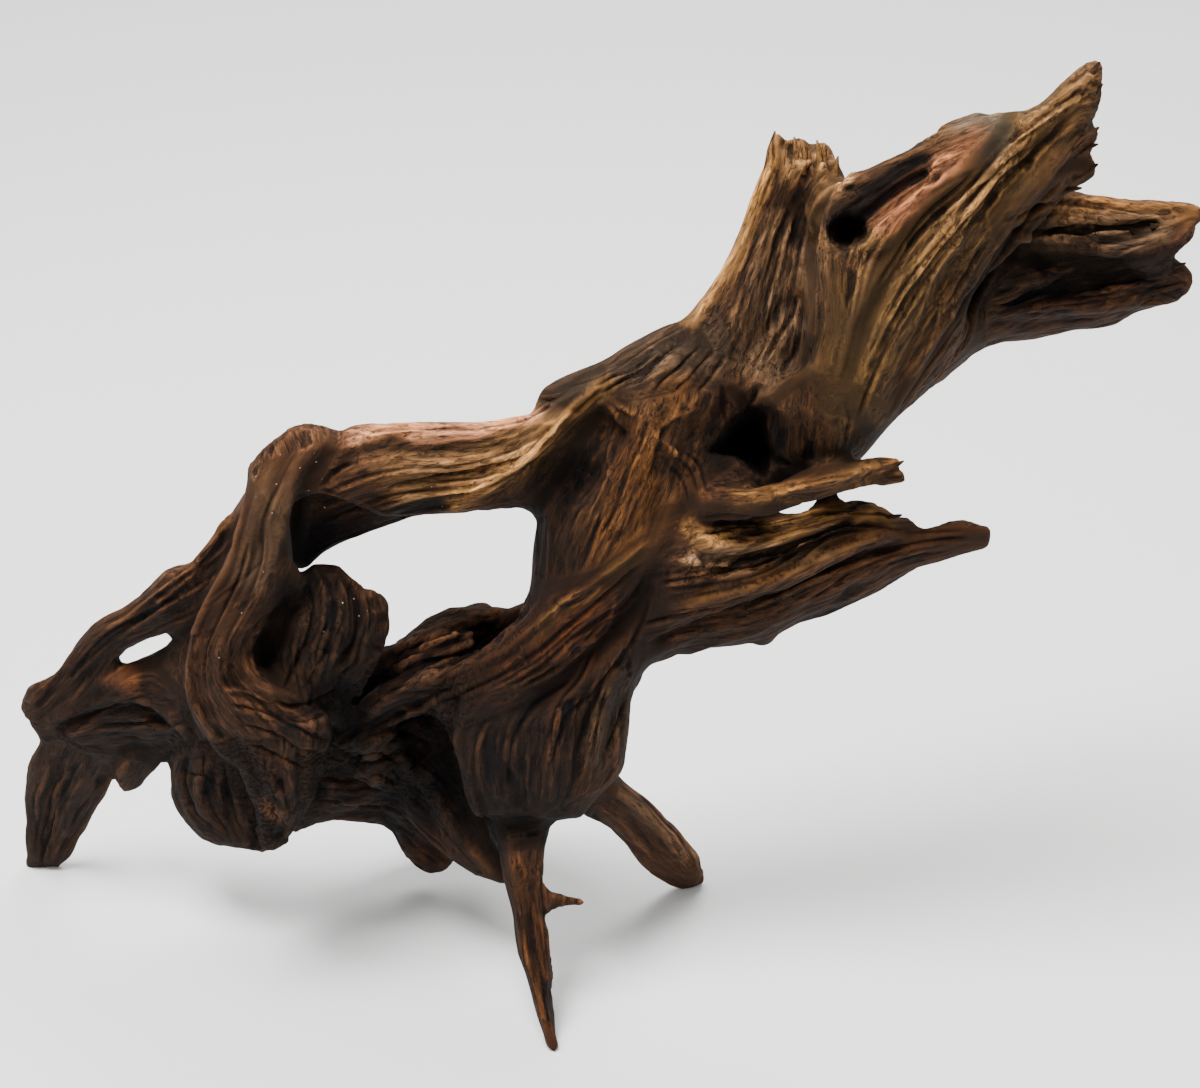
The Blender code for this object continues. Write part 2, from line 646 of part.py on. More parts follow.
RING_SIDES = 48
STEPS_BETWEEN_STATIONS = 5
FLUTE_DEPTH = 0.075
SECTION_SQUARENESS = 0.88
STROKE_STEP = 0.0012
FADE_STEPS = 6


def sight(x, y, back):
    """The point seen at grid x, y that lies `back` metres behind the middle."""
    across = (x - GRID_MIDDLE[0]) * UNIT
    up = (GRID_MIDDLE[1] - y) * UNIT
    ray = Vector((across, 0, 0)) + GRID_UP * up - EYE
    return EYE + ray * ((back - EYE.y) / ray.y)


def smooth_stations(stations):
    """Catmull-Rom rows between the stations of one limb."""
    rows = np.array(stations, float)
    padded = np.vstack([2 * rows[0] - rows[1], rows, 2 * rows[-1] - rows[-2]])
    finer = []
    for i in range(len(rows) - 1):
        before, start, end, after = padded[i : i + 4]
        for k in range(STEPS_BETWEEN_STATIONS):
            t = k / STEPS_BETWEEN_STATIONS
            finer.append(
                0.5
                * (
                    2 * start
                    + (end - before) * t
                    + (2 * before - 5 * start + 4 * end - after) * t**2
                    + (3 * start - before - 3 * end + after) * t**3
                )
            )
    finer.append(rows[-1])
    return np.array(finer)


def flute_factor(angle, along, phases):
    """How far the ridges and hollows that run along a limb lift its section, 1 on average."""
    wave = (
        0.45 * math.cos(4 * angle + phases[0] + 0.35 * along)
        + 0.35 * math.cos(7 * angle + phases[1] - 0.5 * along)
        + 0.3 * math.cos(11 * angle + phases[2] + 0.2 * along)
    )
    return 1 + FLUTE_DEPTH * wave * math.sin(angle) ** 2


def limb_rings(stations, phases):
    rows = smooth_stations(stations)
    rings = []
    for i, (left_x, left_y, right_x, right_y, back, half_depth) in enumerate(rows):
        left = sight(left_x, left_y, back * MM)
        right = sight(right_x, right_y, back * MM)
        centre = (left + right) / 2
        half_width = (right - left) / 2
        depth = (centre - EYE).normalized() * half_depth * MM
        ring = []
        for side in range(RING_SIDES):
            angle = 2 * math.pi * side / RING_SIDES
            swell = flute_factor(angle, i / STEPS_BETWEEN_STATIONS, phases)
            wide = math.copysign(abs(math.cos(angle)) ** SECTION_SQUARENESS, math.cos(angle))
            deep = math.copysign(abs(math.sin(angle)) ** SECTION_SQUARENESS, math.sin(angle))
            ring.append(centre + half_width * wide + depth * deep * swell)
        rings.append(ring)
    return rings


def splinter_end(rings, end, reach, draw):
    """Pulls every other point of the end ring outwards by a random share of the reach."""
    last, inner = (0, 1) if end == "start" else (-1, -2)
    middle = sum(rings[last], Vector()) / RING_SIDES
    outwards = (middle - sum(rings[inner], Vector()) / RING_SIDES).normalized()
    for side in range(0, RING_SIDES, 2):
        rings[last][side] = rings[last][side] + outwards * reach * draw.uniform(0.2, 1)


def add_loft(bm, rings):
    """A closed loft through rings of equally many points, with a fan over each end."""
    sides = len(rings[0])
    loops = [[bm.verts.new(point) for point in ring] for ring in rings]
    for first, second in zip(loops, loops[1:]):
        for side in range(sides):
            beside = (side + 1) % sides
            bm.faces.new((first[side], first[beside], second[beside], second[side]))
    for loop in (loops[0], loops[-1]):
        tip = bm.verts.new(sum((vert.co for vert in loop), Vector()) / sides)
        for side in range(sides):
            bm.faces.new((loop[side], loop[(side + 1) % sides], tip))


def mesh_of_lofts(name, lofts):
    bm = bmesh.new()
    for rings in lofts:
        add_loft(bm, rings)
    bmesh.ops.recalc_face_normals(bm, faces=bm.faces)
    mesh = bpy.data.meshes.new(name)
    bm.to_mesh(mesh)
    bm.free()
    return mesh


def limb_lofts():
    for name, stations in LIMBS.items():
        draw = random.Random(name)
        rings = limb_rings(stations, [draw.uniform(0, 2 * math.pi) for _ in range(3)])
        if name in BROKEN_ENDS:
            splinter_end(rings, *BROKEN_ENDS[name], draw)
        yield rings


def hole_loft(outline, steps):
    middle_x = sum(x for x, y in outline) / len(outline)
    middle_y = sum(y for x, y in outline) / len(outline)
    rings = []
    for back, scale in steps:
        ring = [
            sight(middle_x + (x - middle_x) * scale, middle_y + (y - middle_y) * scale, back * MM)
            for x, y in outline
        ]
        rings.append(ring)
    return rings


def add_remesh(obj):
    remesh = obj.modifiers.new("Remesh", "REMESH")
    remesh.mode = "VOXEL"
    remesh.voxel_size = VOXEL


def add_offset(obj, distance):
    offset = obj.modifiers.new("Offset", "DISPLACE")
    offset.strength = distance
    offset.mid_level = 0


def apply_modifiers(obj):
    graph = bpy.context.evaluated_depsgraph_get()
    mesh = bpy.data.meshes.new_from_object(obj.evaluated_get(graph))
    obj.modifiers.clear()
    obj.data = mesh


def fuse(obj):
    """One skin round all limbs, with the creases between them filled to the fillet's radius."""
    add_remesh(obj)
    add_offset(obj, FILLET)
    add_remesh(obj)
    add_offset(obj, SWELL - FILLET)
    add_remesh(obj)
    apply_modifiers(obj)


def stroke_points(points, tree, far_side):
    """Where a stroke runs over the wood, with how fully it bites there."""
    found = []
    for start, end in zip(points, points[1:]):
        length = math.dist(start, end) * UNIT
        steps = max(1, round(length / STROKE_STEP))
        for k in range(steps):
            t = k / steps
            x = start[0] + (end[0] - start[0]) * t
            y = start[1] + (end[1] - start[1]) * t
            target = sight(x, y, 0)
            ray = (target - EYE).normalized()
            if far_side:
                hit = tree.ray_cast(target + ray * VIEW_DISTANCE, -ray)[0]
            else:
                hit = tree.ray_cast(EYE, ray)[0]
            found.append(hit)
    return [
        (hit, min(1, (i + 1) / FADE_STEPS, (len(found) - i) / FADE_STEPS))
        for i, hit in enumerate(found)
        if hit is not None
    ]


def carve(obj):
    """Moves the skin in and out along every stroke, on the front and on the far side."""
    mesh = obj.data
    places = [vert.co for vert in mesh.vertices]
    tree = BVHTree.FromPolygons(places, [face.vertices for face in mesh.polygons])
    nearby = KDTree(len(mesh.vertices))
    for vert in mesh.vertices:
        nearby.insert(vert.co, vert.index)
    nearby.balance()
    lift = np.zeros(len(mesh.vertices))
    for strokes in CARVING.values():
        for height, reach, points in strokes:
            shifted = [(x + FAR_SIDE_SHIFT[0], y + FAR_SIDE_SHIFT[1]) for x, y in points]
            carve_stroke(lift, nearby, stroke_points(points, tree, False), height * MM, reach * MM)
            carve_stroke(
                lift, nearby, stroke_points(shifted, tree, True), height * MM * FAR_SIDE_SHARE, reach * MM
            )
    moved = [vert.co + vert.normal * lift[vert.index] for vert in mesh.vertices]
    for vert, place in zip(mesh.vertices, moved):
        vert.co = place


def carve_stroke(lift, nearby, spots, height, reach):
    strongest = {}
    for spot, bite in spots:
        for place, index, distance in nearby.find_range(spot, reach):
            share = bite * (1 - (distance / reach) ** 2) ** 2
            if share > strongest.get(index, 0):
                strongest[index] = share
    for index, share in strongest.items():
        lift[index] += height * share


def drill(obj):
    """Cuts the knot holes and the narrow gaps."""
    shapes = mesh_of_lofts("holes", (hole_loft(*hole) for hole in HOLES.values()))
    cutter = bpy.data.objects.new("holes", shapes)
    bpy.context.scene.collection.objects.link(cutter)
    cut = obj.modifiers.new("Holes", "BOOLEAN")
    cut.operation = "DIFFERENCE"
    cut.solver = "EXACT"
    cut.object = cutter
    apply_modifiers(obj)
    bpy.data.objects.remove(cutter)


def keep_largest_shell(obj):
    bm = bmesh.new()
    bm.from_mesh(obj.data)
    unseen = set(bm.verts)
    shells = []
    while unseen:
        reached = [unseen.pop()]
        for vert in reached:
            for edge in vert.link_edges:
                other = edge.other_vert(vert)
                if other in unseen:
                    unseen.remove(other)
                    reached.append(other)
        shells.append(reached)
    shells.sort(key=len)
    for shell in shells[:-1]:
        bmesh.ops.delete(bm, geom=shell, context="VERTS")
    bm.to_mesh(obj.data)
    bm.free()


def thin(obj, facets):
    triangles = sum(len(face.vertices) - 2 for face in obj.data.polygons)
    decimate = obj.modifiers.new("Decimate", "DECIMATE")
    decimate.ratio = facets / triangles
    decimate.use_collapse_triangulate = True
    apply_modifiers(obj)


def stand(obj):
    """Cuts each foot to a small flat and moves the wood so that it stands on the middle of its bounds."""
    mesh = obj.data
    floor = max(min(vert.co.z for vert in foot) for foot in feet(mesh)) + FOOT_FLAT
    for vert in mesh.vertices:
        vert.co.z = max(vert.co.z, floor)
    corners = np.array([vert.co for vert in mesh.vertices])
    low, high = corners.min(axis=0), corners.max(axis=0)
    shift = Vector((-(low[0] + high[0]) / 2, -(low[1] + high[1]) / 2, -floor))
    for vert in mesh.vertices:
        vert.co = vert.co + shift
    print("shift to the standing frame, mm:", [round(value * 1000, 3) for value in shift])


def feet(mesh):
    """The vertices near the tips of the three feet."""
    tips = [sight(*tip) for tip in FOOT_TIPS]
    return [[vert for vert in mesh.vertices if (vert.co - tip).length < FOOT_REACH] for tip in tips]


def wood_material():
    material = bpy.data.materials.new("driftwood")
    material.use_nodes = True
    shader = material.node_tree.nodes["Principled BSDF"]
    shader.inputs["Base Color"].default_value = (0.16, 0.085, 0.04, 1)
    shader.inputs["Roughness"].default_value = 0.75
    shader.inputs["Metallic"].default_value = 0.0
    return material


def build():
    for obj in list(bpy.data.objects):
        bpy.data.objects.remove(obj)
    wood = bpy.data.objects.new("driftwood", mesh_of_lofts("driftwood", limb_lofts()))
    bpy.context.scene.collection.objects.link(wood)
    fuse(wood)
    carve(wood)
    add_remesh(wood)
    apply_modifiers(wood)
    keep_largest_shell(wood)
    thin(wood, ROUGH_FACETS)
    drill(wood)
    add_remesh(wood)
    apply_modifiers(wood)
    keep_largest_shell(wood)
    thin(wood, FACETS)
    stand(wood)
    wood.data.materials.append(wood_material())
    wood.data.shade_smooth()
    wood.data.set_sharp_from_angle(angle=math.radians(40))
    return wood


build()
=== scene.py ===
"""Gnarled mangrove driftwood on a pale studio floor.

The wood takes its shape from the CAD node. It gets finer skin, grooves that follow the traced run
of the grain, relief that is stretched along the grain, and painted tones with a wood material.
The tones carry painted shade in hollows and under limbs, and painted light on faces turned up.
"""

import math
import random

import bpy
import numpy as np
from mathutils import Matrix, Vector, noise
from mathutils.bvhtree import BVHTree
from mathutils.kdtree import KDTree


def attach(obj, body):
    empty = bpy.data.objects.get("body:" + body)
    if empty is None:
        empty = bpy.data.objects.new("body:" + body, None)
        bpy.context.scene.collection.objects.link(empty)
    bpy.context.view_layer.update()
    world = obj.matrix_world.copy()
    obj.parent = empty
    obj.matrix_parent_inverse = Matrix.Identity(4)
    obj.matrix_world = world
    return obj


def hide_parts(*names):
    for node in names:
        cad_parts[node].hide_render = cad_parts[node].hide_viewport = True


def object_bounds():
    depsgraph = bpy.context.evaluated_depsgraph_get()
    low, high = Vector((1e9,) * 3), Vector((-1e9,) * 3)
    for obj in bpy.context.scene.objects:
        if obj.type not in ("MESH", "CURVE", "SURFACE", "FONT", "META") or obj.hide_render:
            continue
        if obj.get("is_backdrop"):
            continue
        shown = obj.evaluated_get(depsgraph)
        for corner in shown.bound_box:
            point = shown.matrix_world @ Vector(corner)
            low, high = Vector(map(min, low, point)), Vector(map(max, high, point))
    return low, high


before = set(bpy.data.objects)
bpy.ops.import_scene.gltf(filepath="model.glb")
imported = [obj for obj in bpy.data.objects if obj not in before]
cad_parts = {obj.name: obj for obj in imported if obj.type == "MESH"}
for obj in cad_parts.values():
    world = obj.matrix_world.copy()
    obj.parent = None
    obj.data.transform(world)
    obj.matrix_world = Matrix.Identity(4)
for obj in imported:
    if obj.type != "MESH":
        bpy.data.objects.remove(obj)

bounds_at_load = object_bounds()

# The view of the photograph, as in the part: a tracing grid of 0.5 mm steps through the middle
# of the wood, seen from 30 degrees above. SHIFT is where that middle is in the row frame.
SHIFT = Vector((0.014706, 0.018976, 0.240824))
GRID_MIDDLE = (600.2, 543.4)
GRID_SIZE = (1200, 1088)
UNIT = 0.0005
VIEW_DISTANCE = 1.5
VIEW_ELEVATION = math.radians(30)
TO_VIEWER = Vector((0, -math.cos(VIEW_ELEVATION), math.sin(VIEW_ELEVATION)))
GRID_UP = Vector((0, math.sin(VIEW_ELEVATION), math.cos(VIEW_ELEVATION)))
EYE = SHIFT + TO_VIEWER * VIEW_DISTANCE
MM = 0.001

# The fine skin: the size of its quads in metres, the meshes that it is shared between, and the
# rounds of smoothing, each a step towards the neighbours' mean and a slightly larger step back.
SKIN_VOXEL = 0.00105
PIECES = 4
FACET_SMOOTHING = 26
SMOOTHING_STEPS = (0.6, -0.62)

# How far the strokes and the relief may move the skin in and out, in millimetres.
STROKE_LIMITS = (-4, 8)
RELIEF_LIMITS = (-3.5, 2.2)
RELIEF_SCALES = {"broad": 0.008, "middle": 0.0034, "fine": 0.0018}
LUMP_SCALE = 0.022
CRUMPLE_SCALE = 0.009

# The grain space: how many times slower it runs along the grain, how many tracks with how many
# stations stand for each family, how far the outer tracks reach past its traced lines, and the
# distance in grid steps that keeps the families apart.
GRAIN_STRETCH = 9
TRACKS = 33
STATIONS = 48
TRACK_OVERHANG = 0.08
FAMILY_DISTANCE = 400
DEPTH_SHARE = 0.8

# How the light of the surroundings is measured: rays from each point and their length in metres.
SKY_RAYS = 40
SKY_REACH = 0.16

# Families of fine grooves: how many, depth and reach in millimetres, then the two traced lines
# that they run between. They also set how the grain runs.
GRAIN_FAMILIES = {
    "horn": (
        18, 1.3, 2.4,
        [(1088, 78), (1040, 112), (1000, 140), (960, 182), (925, 215),
         (890, 260), (862, 310), (840, 370), (830, 405)],
        [(1076, 150), (1030, 200), (985, 260), (950, 315), (915, 370), (885, 425)],
    ),
    "horn_collar": (
        10, 1.2, 2.4,
        [(1000, 118), (950, 135), (900, 158), (855, 180), (826, 196),
         (816, 222), (820, 262), (826, 310), (818, 360)],
        [(985, 168), (950, 185), (915, 212), (890, 245), (872, 290), (856, 340), (840, 390)],
    ),
    "horn_under": (
        8, 1.4, 2.4,
        [(1070, 165), (1025, 215), (990, 270), (955, 330), (915, 385), (890, 425)],
        [(1072, 190), (1045, 215), (1010, 250), (974, 305), (970, 340), (935, 382), (888, 434)],
    ),
    "stub": (
        14, 1.2, 2.2,
        [(765, 165), (752, 205), (735, 245), (715, 280), (694, 318), (670, 350)],
        [(838, 168), (818, 200), (802, 250), (794, 300), (787, 350), (770, 388)],
    ),
    "crown": (
        7, 1.6, 2.2,
        [(550, 394), (600, 372), (650, 340), (690, 322)],
        [(575, 405), (620, 395), (660, 380), (705, 350)],
    ),
    "hub": (
        12, 1.3, 2.4,
        [(618, 395), (606, 440), (590, 480), (572, 520), (560, 570)],
        [(712, 400), (690, 450), (672, 500), (655, 540), (620, 580)],
    ),
    "column": (
        6, 1.0, 2.4,
        [(790, 392), (784, 430), (780, 475)],
        [(850, 392), (852, 430), (845, 465)],
    ),
    "arch": (
        18, 1.3, 2.2,
        [(342, 434), (400, 425), (470, 426), (520, 418), (560, 395), (600, 372)],
        [(300, 555), (350, 535), (400, 518), (450, 510),
         (490, 500), (530, 470), (565, 430), (605, 392)],
    ),
    "torso_crest": (
        12, 1.3, 2.4,
        [(645, 545), (600, 580), (560, 610), (520, 645), (480, 672), (444, 688)],
        [(655, 572), (628, 616), (592, 652), (548, 686), (502, 708), (448, 716)],
    ),
    "torso_face": (
        13, 1.3, 2.4,
        [(548, 690), (510, 712), (478, 726), (468, 765), (482, 820)],
        [(656, 580), (645, 650), (630, 705), (620, 755), (598, 800)],
    ),
    "lower_limb_top": (
        10, 1.5, 2.6,
        [(660, 520), (720, 515), (780, 515), (850, 502), (890, 512)],
        [(640, 600), (700, 590), (760, 575), (820, 545), (870, 530), (920, 535), (982, 530)],
    ),
    "lower_limb_belly": (
        10, 1.5, 2.6,
        [(640, 610), (700, 600), (760, 585), (820, 560), (880, 540), (940, 535), (982, 534)],
        [(640, 665), (700, 645), (760, 635), (820, 610), (890, 570), (940, 555), (982, 546)],
    ),
    "broken_branch": (
        6, 1.0, 2.0,
        [(700, 498), (765, 488), (815, 474), (893, 461)],
        [(705, 520), (765, 508), (830, 502), (898, 482)],
    ),
    "right_limb_top": (
        11, 1.6, 2.2,
        [(1000, 215), (1060, 198), (1130, 206), (1195, 210)],
        [(1010, 250), (1060, 240), (1110, 248), (1150, 242), (1190, 226)],
    ),
    "right_limb_belly": (
        11, 1.8, 2.6,
        [(980, 290), (1040, 275), (1100, 272), (1160, 262), (1186, 268)],
        [(985, 345), (1050, 330), (1110, 320), (1164, 306)],
    ),
    "front_limb": (
        13, 1.3, 2.2,
        [(265, 462), (250, 500), (236, 545), (225, 580), (200, 620), (188, 650),
         (186, 690), (200, 725), (228, 760), (250, 800), (262, 842)],
        [(325, 440), (300, 475), (286, 510), (290, 555), (280, 600), (255, 640),
         (262, 675), (300, 695), (328, 722), (318, 750), (316, 790), (305, 825)],
    ),
    "ear": (
        10, 1.5, 2.4,
        [(302, 572), (285, 610), (275, 650), (285, 690), (300, 710)],
        [(380, 600), (384, 625), (374, 655), (350, 680), (335, 700)],
    ),
    "back_limb": (
        9, 1.4, 2.4,
        [(250, 490), (215, 540), (175, 572), (135, 605), (90, 632), (55, 668), (28, 694)],
        [(285, 540), (245, 580), (200, 615), (160, 630), (120, 650), (90, 690), (45, 735)],
    ),
    "left_blade": (
        8, 1.3, 2.4,
        [(45, 738), (30, 790), (30, 830), (32, 865)],
        [(135, 765), (105, 795), (75, 835), (52, 868)],
    ),
    "left_plates": (
        6, 1.6, 2.4,
        [(60, 722), (100, 705), (140, 692), (185, 700)],
        [(80, 745), (120, 742), (160, 745), (190, 740)],
    ),
    "lower_left": (
        8, 1.7, 2.6,
        [(180, 750), (178, 790), (192, 822), (230, 838)],
        [(260, 745), (262, 790), (262, 840)],
    ),
    "root_mass": (
        11, 1.8, 2.8,
        [(374, 668), (420, 644), (470, 622), (520, 616)],
        [(330, 760), (390, 740), (430, 720), (470, 700)],
    ),
    "root_mass_low": (
        8, 1.8, 2.8,
        [(310, 760), (360, 770), (410, 770), (450, 800)],
        [(310, 828), (350, 815), (392, 822), (412, 850)],
    ),
    "under_root": (
        7, 1.3, 2.2,
        [(430, 715), (455, 770), (480, 820), (500, 865)],
        [(390, 770), (420, 810), (455, 850), (480, 872)],
    ),
    "spike": (
        6, 1.0, 2.0,
        [(500, 830), (508, 880), (516, 920), (524, 965), (545, 1035)],
        [(550, 825), (543, 870), (546, 920), (550, 970), (556, 1030)],
    ),
    "rear_root": (
        6, 1.2, 2.2,
        [(618, 780), (655, 812), (682, 845), (700, 880)],
        [(588, 808), (625, 838), (660, 868), (688, 884)],
    ),
}

# Single strokes: height (negative cuts) and reach in millimetres, then traced points.
STROKES = {
    "cracks": [
        (-3, 1.8, [(797, 296), (790, 318), (776, 340), (764, 362)]),
        (-3, 1.8, [(800, 308), (799, 330), (795, 350), (780, 374)]),
        (-2.5, 1.8, [(640, 378), (656, 362), (680, 342)]),
        (-2.5, 1.8, [(652, 392), (672, 372), (700, 346)]),
        (-2.5, 1.8, [(672, 394), (694, 372), (712, 350)]),
        (-2.5, 1.8, [(694, 396), (710, 376), (724, 356)]),
        (-3, 2.0, [(722, 386), (724, 406), (727, 426)]),
        (-3, 2.0, [(758, 384), (752, 400), (745, 416)]),
        (-2.5, 1.8, [(355, 460), (340, 468), (330, 476), (320, 488)]),
        (-2.5, 1.8, [(1036, 236), (1072, 226), (1120, 226), (1162, 224)]),
        (-2.5, 1.8, [(520, 460), (470, 470), (420, 480), (382, 490)]),
        (-2.5, 1.8, [(626, 700), (616, 726), (606, 752)]),
        (-2.5, 1.8, [(606, 690), (598, 722), (590, 760)]),
        (-3, 2.0, [(808, 600), (828, 590), (850, 572)]),
        (-2, 1.6, [(676, 458), (690, 470), (697, 490)]),
        (-2, 1.6, [(686, 452), (700, 466), (707, 492)]),
        (-2, 1.6, [(668, 466), (682, 480), (688, 500)]),
    ],
    "rims": [
        (2.0, 3.5, [(816, 240), (812, 218), (822, 198), (842, 186),
                    (870, 180), (900, 163), (930, 148)]),
        (2.0, 3.0, [(868, 246), (888, 224), (905, 206), (928, 186), (938, 162)]),
        (2.5, 3.5, [(600, 384), (580, 400), (558, 424), (534, 452), (500, 474), (466, 496)]),
        (2.5, 3.5, [(650, 540), (628, 556), (600, 577), (562, 605),
                    (530, 630), (505, 652), (480, 664)]),
        (1.8, 3.0, [(655, 435), (670, 448), (690, 470)]),
        (1.6, 2.6, [(615, 594), (611, 618), (596, 636), (575, 648)]),
        (1.8, 3.0, [(700, 526), (740, 533), (780, 527), (840, 510)]),
        (1.8, 3.0, [(692, 602), (742, 590), (790, 574), (822, 548), (862, 532)]),
        (1.6, 2.4, [(617, 428), (611, 445), (609, 465), (610, 486)]),
        (2.2, 2.6, [(608, 403), (618, 415), (628, 430)]),
        (2.2, 2.6, [(612, 400), (624, 408), (636, 416)]),
        (1.6, 2.6, [(466, 762), (476, 800), (490, 838)]),
        (1.6, 2.6, [(246, 500), (236, 540), (225, 572), (205, 606),
                    (194, 636), (188, 668), (190, 695), (204, 724)]),
        (1.8, 2.6, [(222, 690), (250, 692), (285, 708), (318, 728)]),
    ],
    "knots": [
        (-2.0, 2.0, [(226, 664), (233, 667)]),
        (-1.6, 2.0, [(150, 603), (158, 605)]),
        (-1.8, 2.2, [(750, 580), (757, 583)]),
        (-3.0, 2.2, [(609, 757), (613, 759)]),
    ],
    "ear_folds": [
        (-2.6, 2.4, [(300, 580), (312, 600), (310, 632), (296, 662), (284, 690)]),
        (-2.4, 2.2, [(322, 574), (334, 598), (333, 632), (320, 662), (306, 684)]),
        (-2.4, 2.2, [(346, 580), (356, 606), (354, 636), (340, 662)]),
        (-2.0, 2.0, [(366, 592), (372, 616), (368, 642)]),
        (1.6, 2.2, [(312, 566), (324, 590), (323, 626), (308, 658)]),
        (1.6, 2.2, [(336, 574), (346, 602), (344, 634), (330, 662)]),
        (-2.4, 2.4, [(272, 700), (292, 706), (316, 700), (336, 686)]),
        (-2.0, 2.0, [(280, 716), (304, 722), (330, 712)]),
    ],
    "root_wrinkles": [
        (-3.0, 2.8, [(378, 664), (402, 652), (430, 640), (462, 630), (500, 628)]),
        (-2.6, 2.4, [(384, 684), (410, 668), (440, 660), (468, 652)]),
        (-2.6, 2.4, [(372, 706), (392, 690), (416, 684), (440, 684)]),
        (-3.0, 2.8, [(366, 738), (392, 730), (414, 736), (432, 748)]),
        (-2.6, 2.4, [(330, 744), (352, 756), (378, 752), (400, 764)]),
        (-2.6, 2.4, [(318, 776), (346, 782), (376, 776), (402, 786)]),
        (-2.4, 2.2, [(322, 800), (350, 806), (384, 800)]),
        (-2.4, 2.2, [(408, 812), (426, 834), (448, 852)]),
        (-2.2, 2.0, [(400, 830), (418, 850), (436, 862)]),
        (2.0, 2.6, [(388, 676), (414, 660), (446, 650), (476, 642)]),
        (2.0, 2.6, [(376, 720), (398, 710), (422, 708)]),
    ],
    "end_folds": [
        (-2.4, 2.2, [(232, 706), (262, 712), (296, 728), (326, 740)]),
        (-2.2, 2.0, [(244, 724), (274, 734), (300, 748), (324, 754)]),
        (-2.2, 2.0, [(252, 744), (280, 756), (306, 768)]),
        (-2.2, 2.0, [(258, 800), (274, 812), (290, 830)]),
        (-2.4, 2.2, [(270, 770), (284, 792), (290, 818)]),
    ],
    "lump_furrows": [
        (-2.8, 2.6, [(184, 752), (186, 784), (196, 812), (214, 832)]),
        (-2.8, 2.6, [(204, 752), (206, 786), (216, 816), (232, 838)]),
        (-2.6, 2.4, [(224, 764), (228, 796), (240, 826)]),
        (-2.2, 2.2, [(180, 772), (200, 776), (222, 786)]),
    ],
    "torso_furrows": [
        (-2.2, 2.4, [(640, 566), (610, 592), (574, 622), (540, 650), (500, 676), (462, 694)]),
        (-2.2, 2.4, [(648, 600), (634, 640), (608, 676), (588, 716), (578, 756)]),
        (-2.0, 2.2, [(620, 660), (596, 690), (566, 720), (552, 764)]),
        (-2.0, 2.2, [(570, 680), (534, 706), (512, 744), (508, 784)]),
    ],
    "filled": [
        (7.5, 5.0, [(676, 560), (700, 554), (740, 558), (786, 549), (824, 536), (862, 522)]),
        (3.0, 5.0, [(720, 528), (760, 526), (800, 518), (832, 508)]),
        (4.0, 4.0, [(1010, 236), (1050, 238), (1090, 238), (1140, 234)]),
    ],
}

# The far side repeats the grooves, moved by this many grid steps and a little wider.
FAR_SIDE_SHIFT = (14, -11)
FAR_SIDE_REACH = 1.1

# Rough areas: height in millimetres, spread in grid steps, then the traced line that they follow.
ROUGH_AREAS = [
    (3.0, 46, [(330, 750), (420, 770), (440, 700)]),
    (2.4, 34, [(385, 670), (440, 640), (500, 628)]),
    (2.8, 40, [(200, 790), (250, 820)]),
    (1.6, 34, [(320, 600), (330, 680)]),
    (1.8, 34, [(690, 560), (760, 590), (860, 560)]),
    (2.2, 34, [(1000, 300), (1070, 285), (1150, 275)]),
    (1.8, 22, [(1060, 215), (1180, 215)]),
    (2.0, 30, [(70, 730), (120, 710), (180, 730)]),
    (1.6, 30, [(60, 790), (50, 850)]),
    (1.4, 34, [(640, 380), (710, 350)]),
    (1.6, 34, [(710, 440), (760, 440)]),
    (1.4, 40, [(560, 760), (500, 800)]),
    (1.4, 24, [(240, 730), (290, 800), (285, 840)]),
    (1.2, 24, [(650, 830), (695, 875)]),
]

# Splinters at the broken ends: base and tip on the grid, and width at the base in millimetres.
# The rings say where along a splinter its rings sit and how wide they are.
SPLINTER_SIDES = 6
SPLINTER_RINGS = ((-0.25, 1.1), (0.1, 1.1), (0.45, 1.0), (0.8, 0.75), (1.0, 0.3))
SPLINTER_DEPTH = 0.0015
STUB_RIGHT, STUB_FOOT = 900, 200
SPLINTERS = [
    ((768, 166), (775, 131), 3.0),
    ((776, 166), (783, 142), 2.4),
    ((786, 168), (786, 150), 2.6),
    ((796, 168), (794, 137), 3.0),
    ((803, 168), (803, 140), 2.4),
    ((812, 170), (808, 150), 2.4),
    ((820, 174), (817, 140), 3.0),
    ((828, 174), (826, 145), 2.6),
    ((836, 178), (838, 156), 2.6),
    ((1084, 88), (1100, 62), 3.2),
    ((1090, 100), (1103, 84), 2.6),
    ((1076, 146), (1099, 127), 3.4),
    ((1078, 154), (1098, 144), 2.8),
    ((1072, 180), (1098, 164), 3.4),
    ((1058, 196), (1082, 188), 2.8),
    ((1166, 214), (1200, 210), 3.0),
    ((1158, 226), (1188, 224), 2.6),
    ((1160, 244), (1192, 232), 3.0),
    ((1156, 278), (1186, 263), 3.0),
    ((1152, 292), (1184, 284), 2.8),
    ((1142, 304), (1166, 304), 2.4),
    ((604, 396), (632, 412), 2.4),
    ((606, 402), (626, 430), 2.2),
    ((560, 396), (539, 397), 3.0),
    ((880, 468), (904, 461), 2.6),
    ((880, 478), (905, 480), 2.4),
    ((876, 514), (902, 515), 2.8),
]
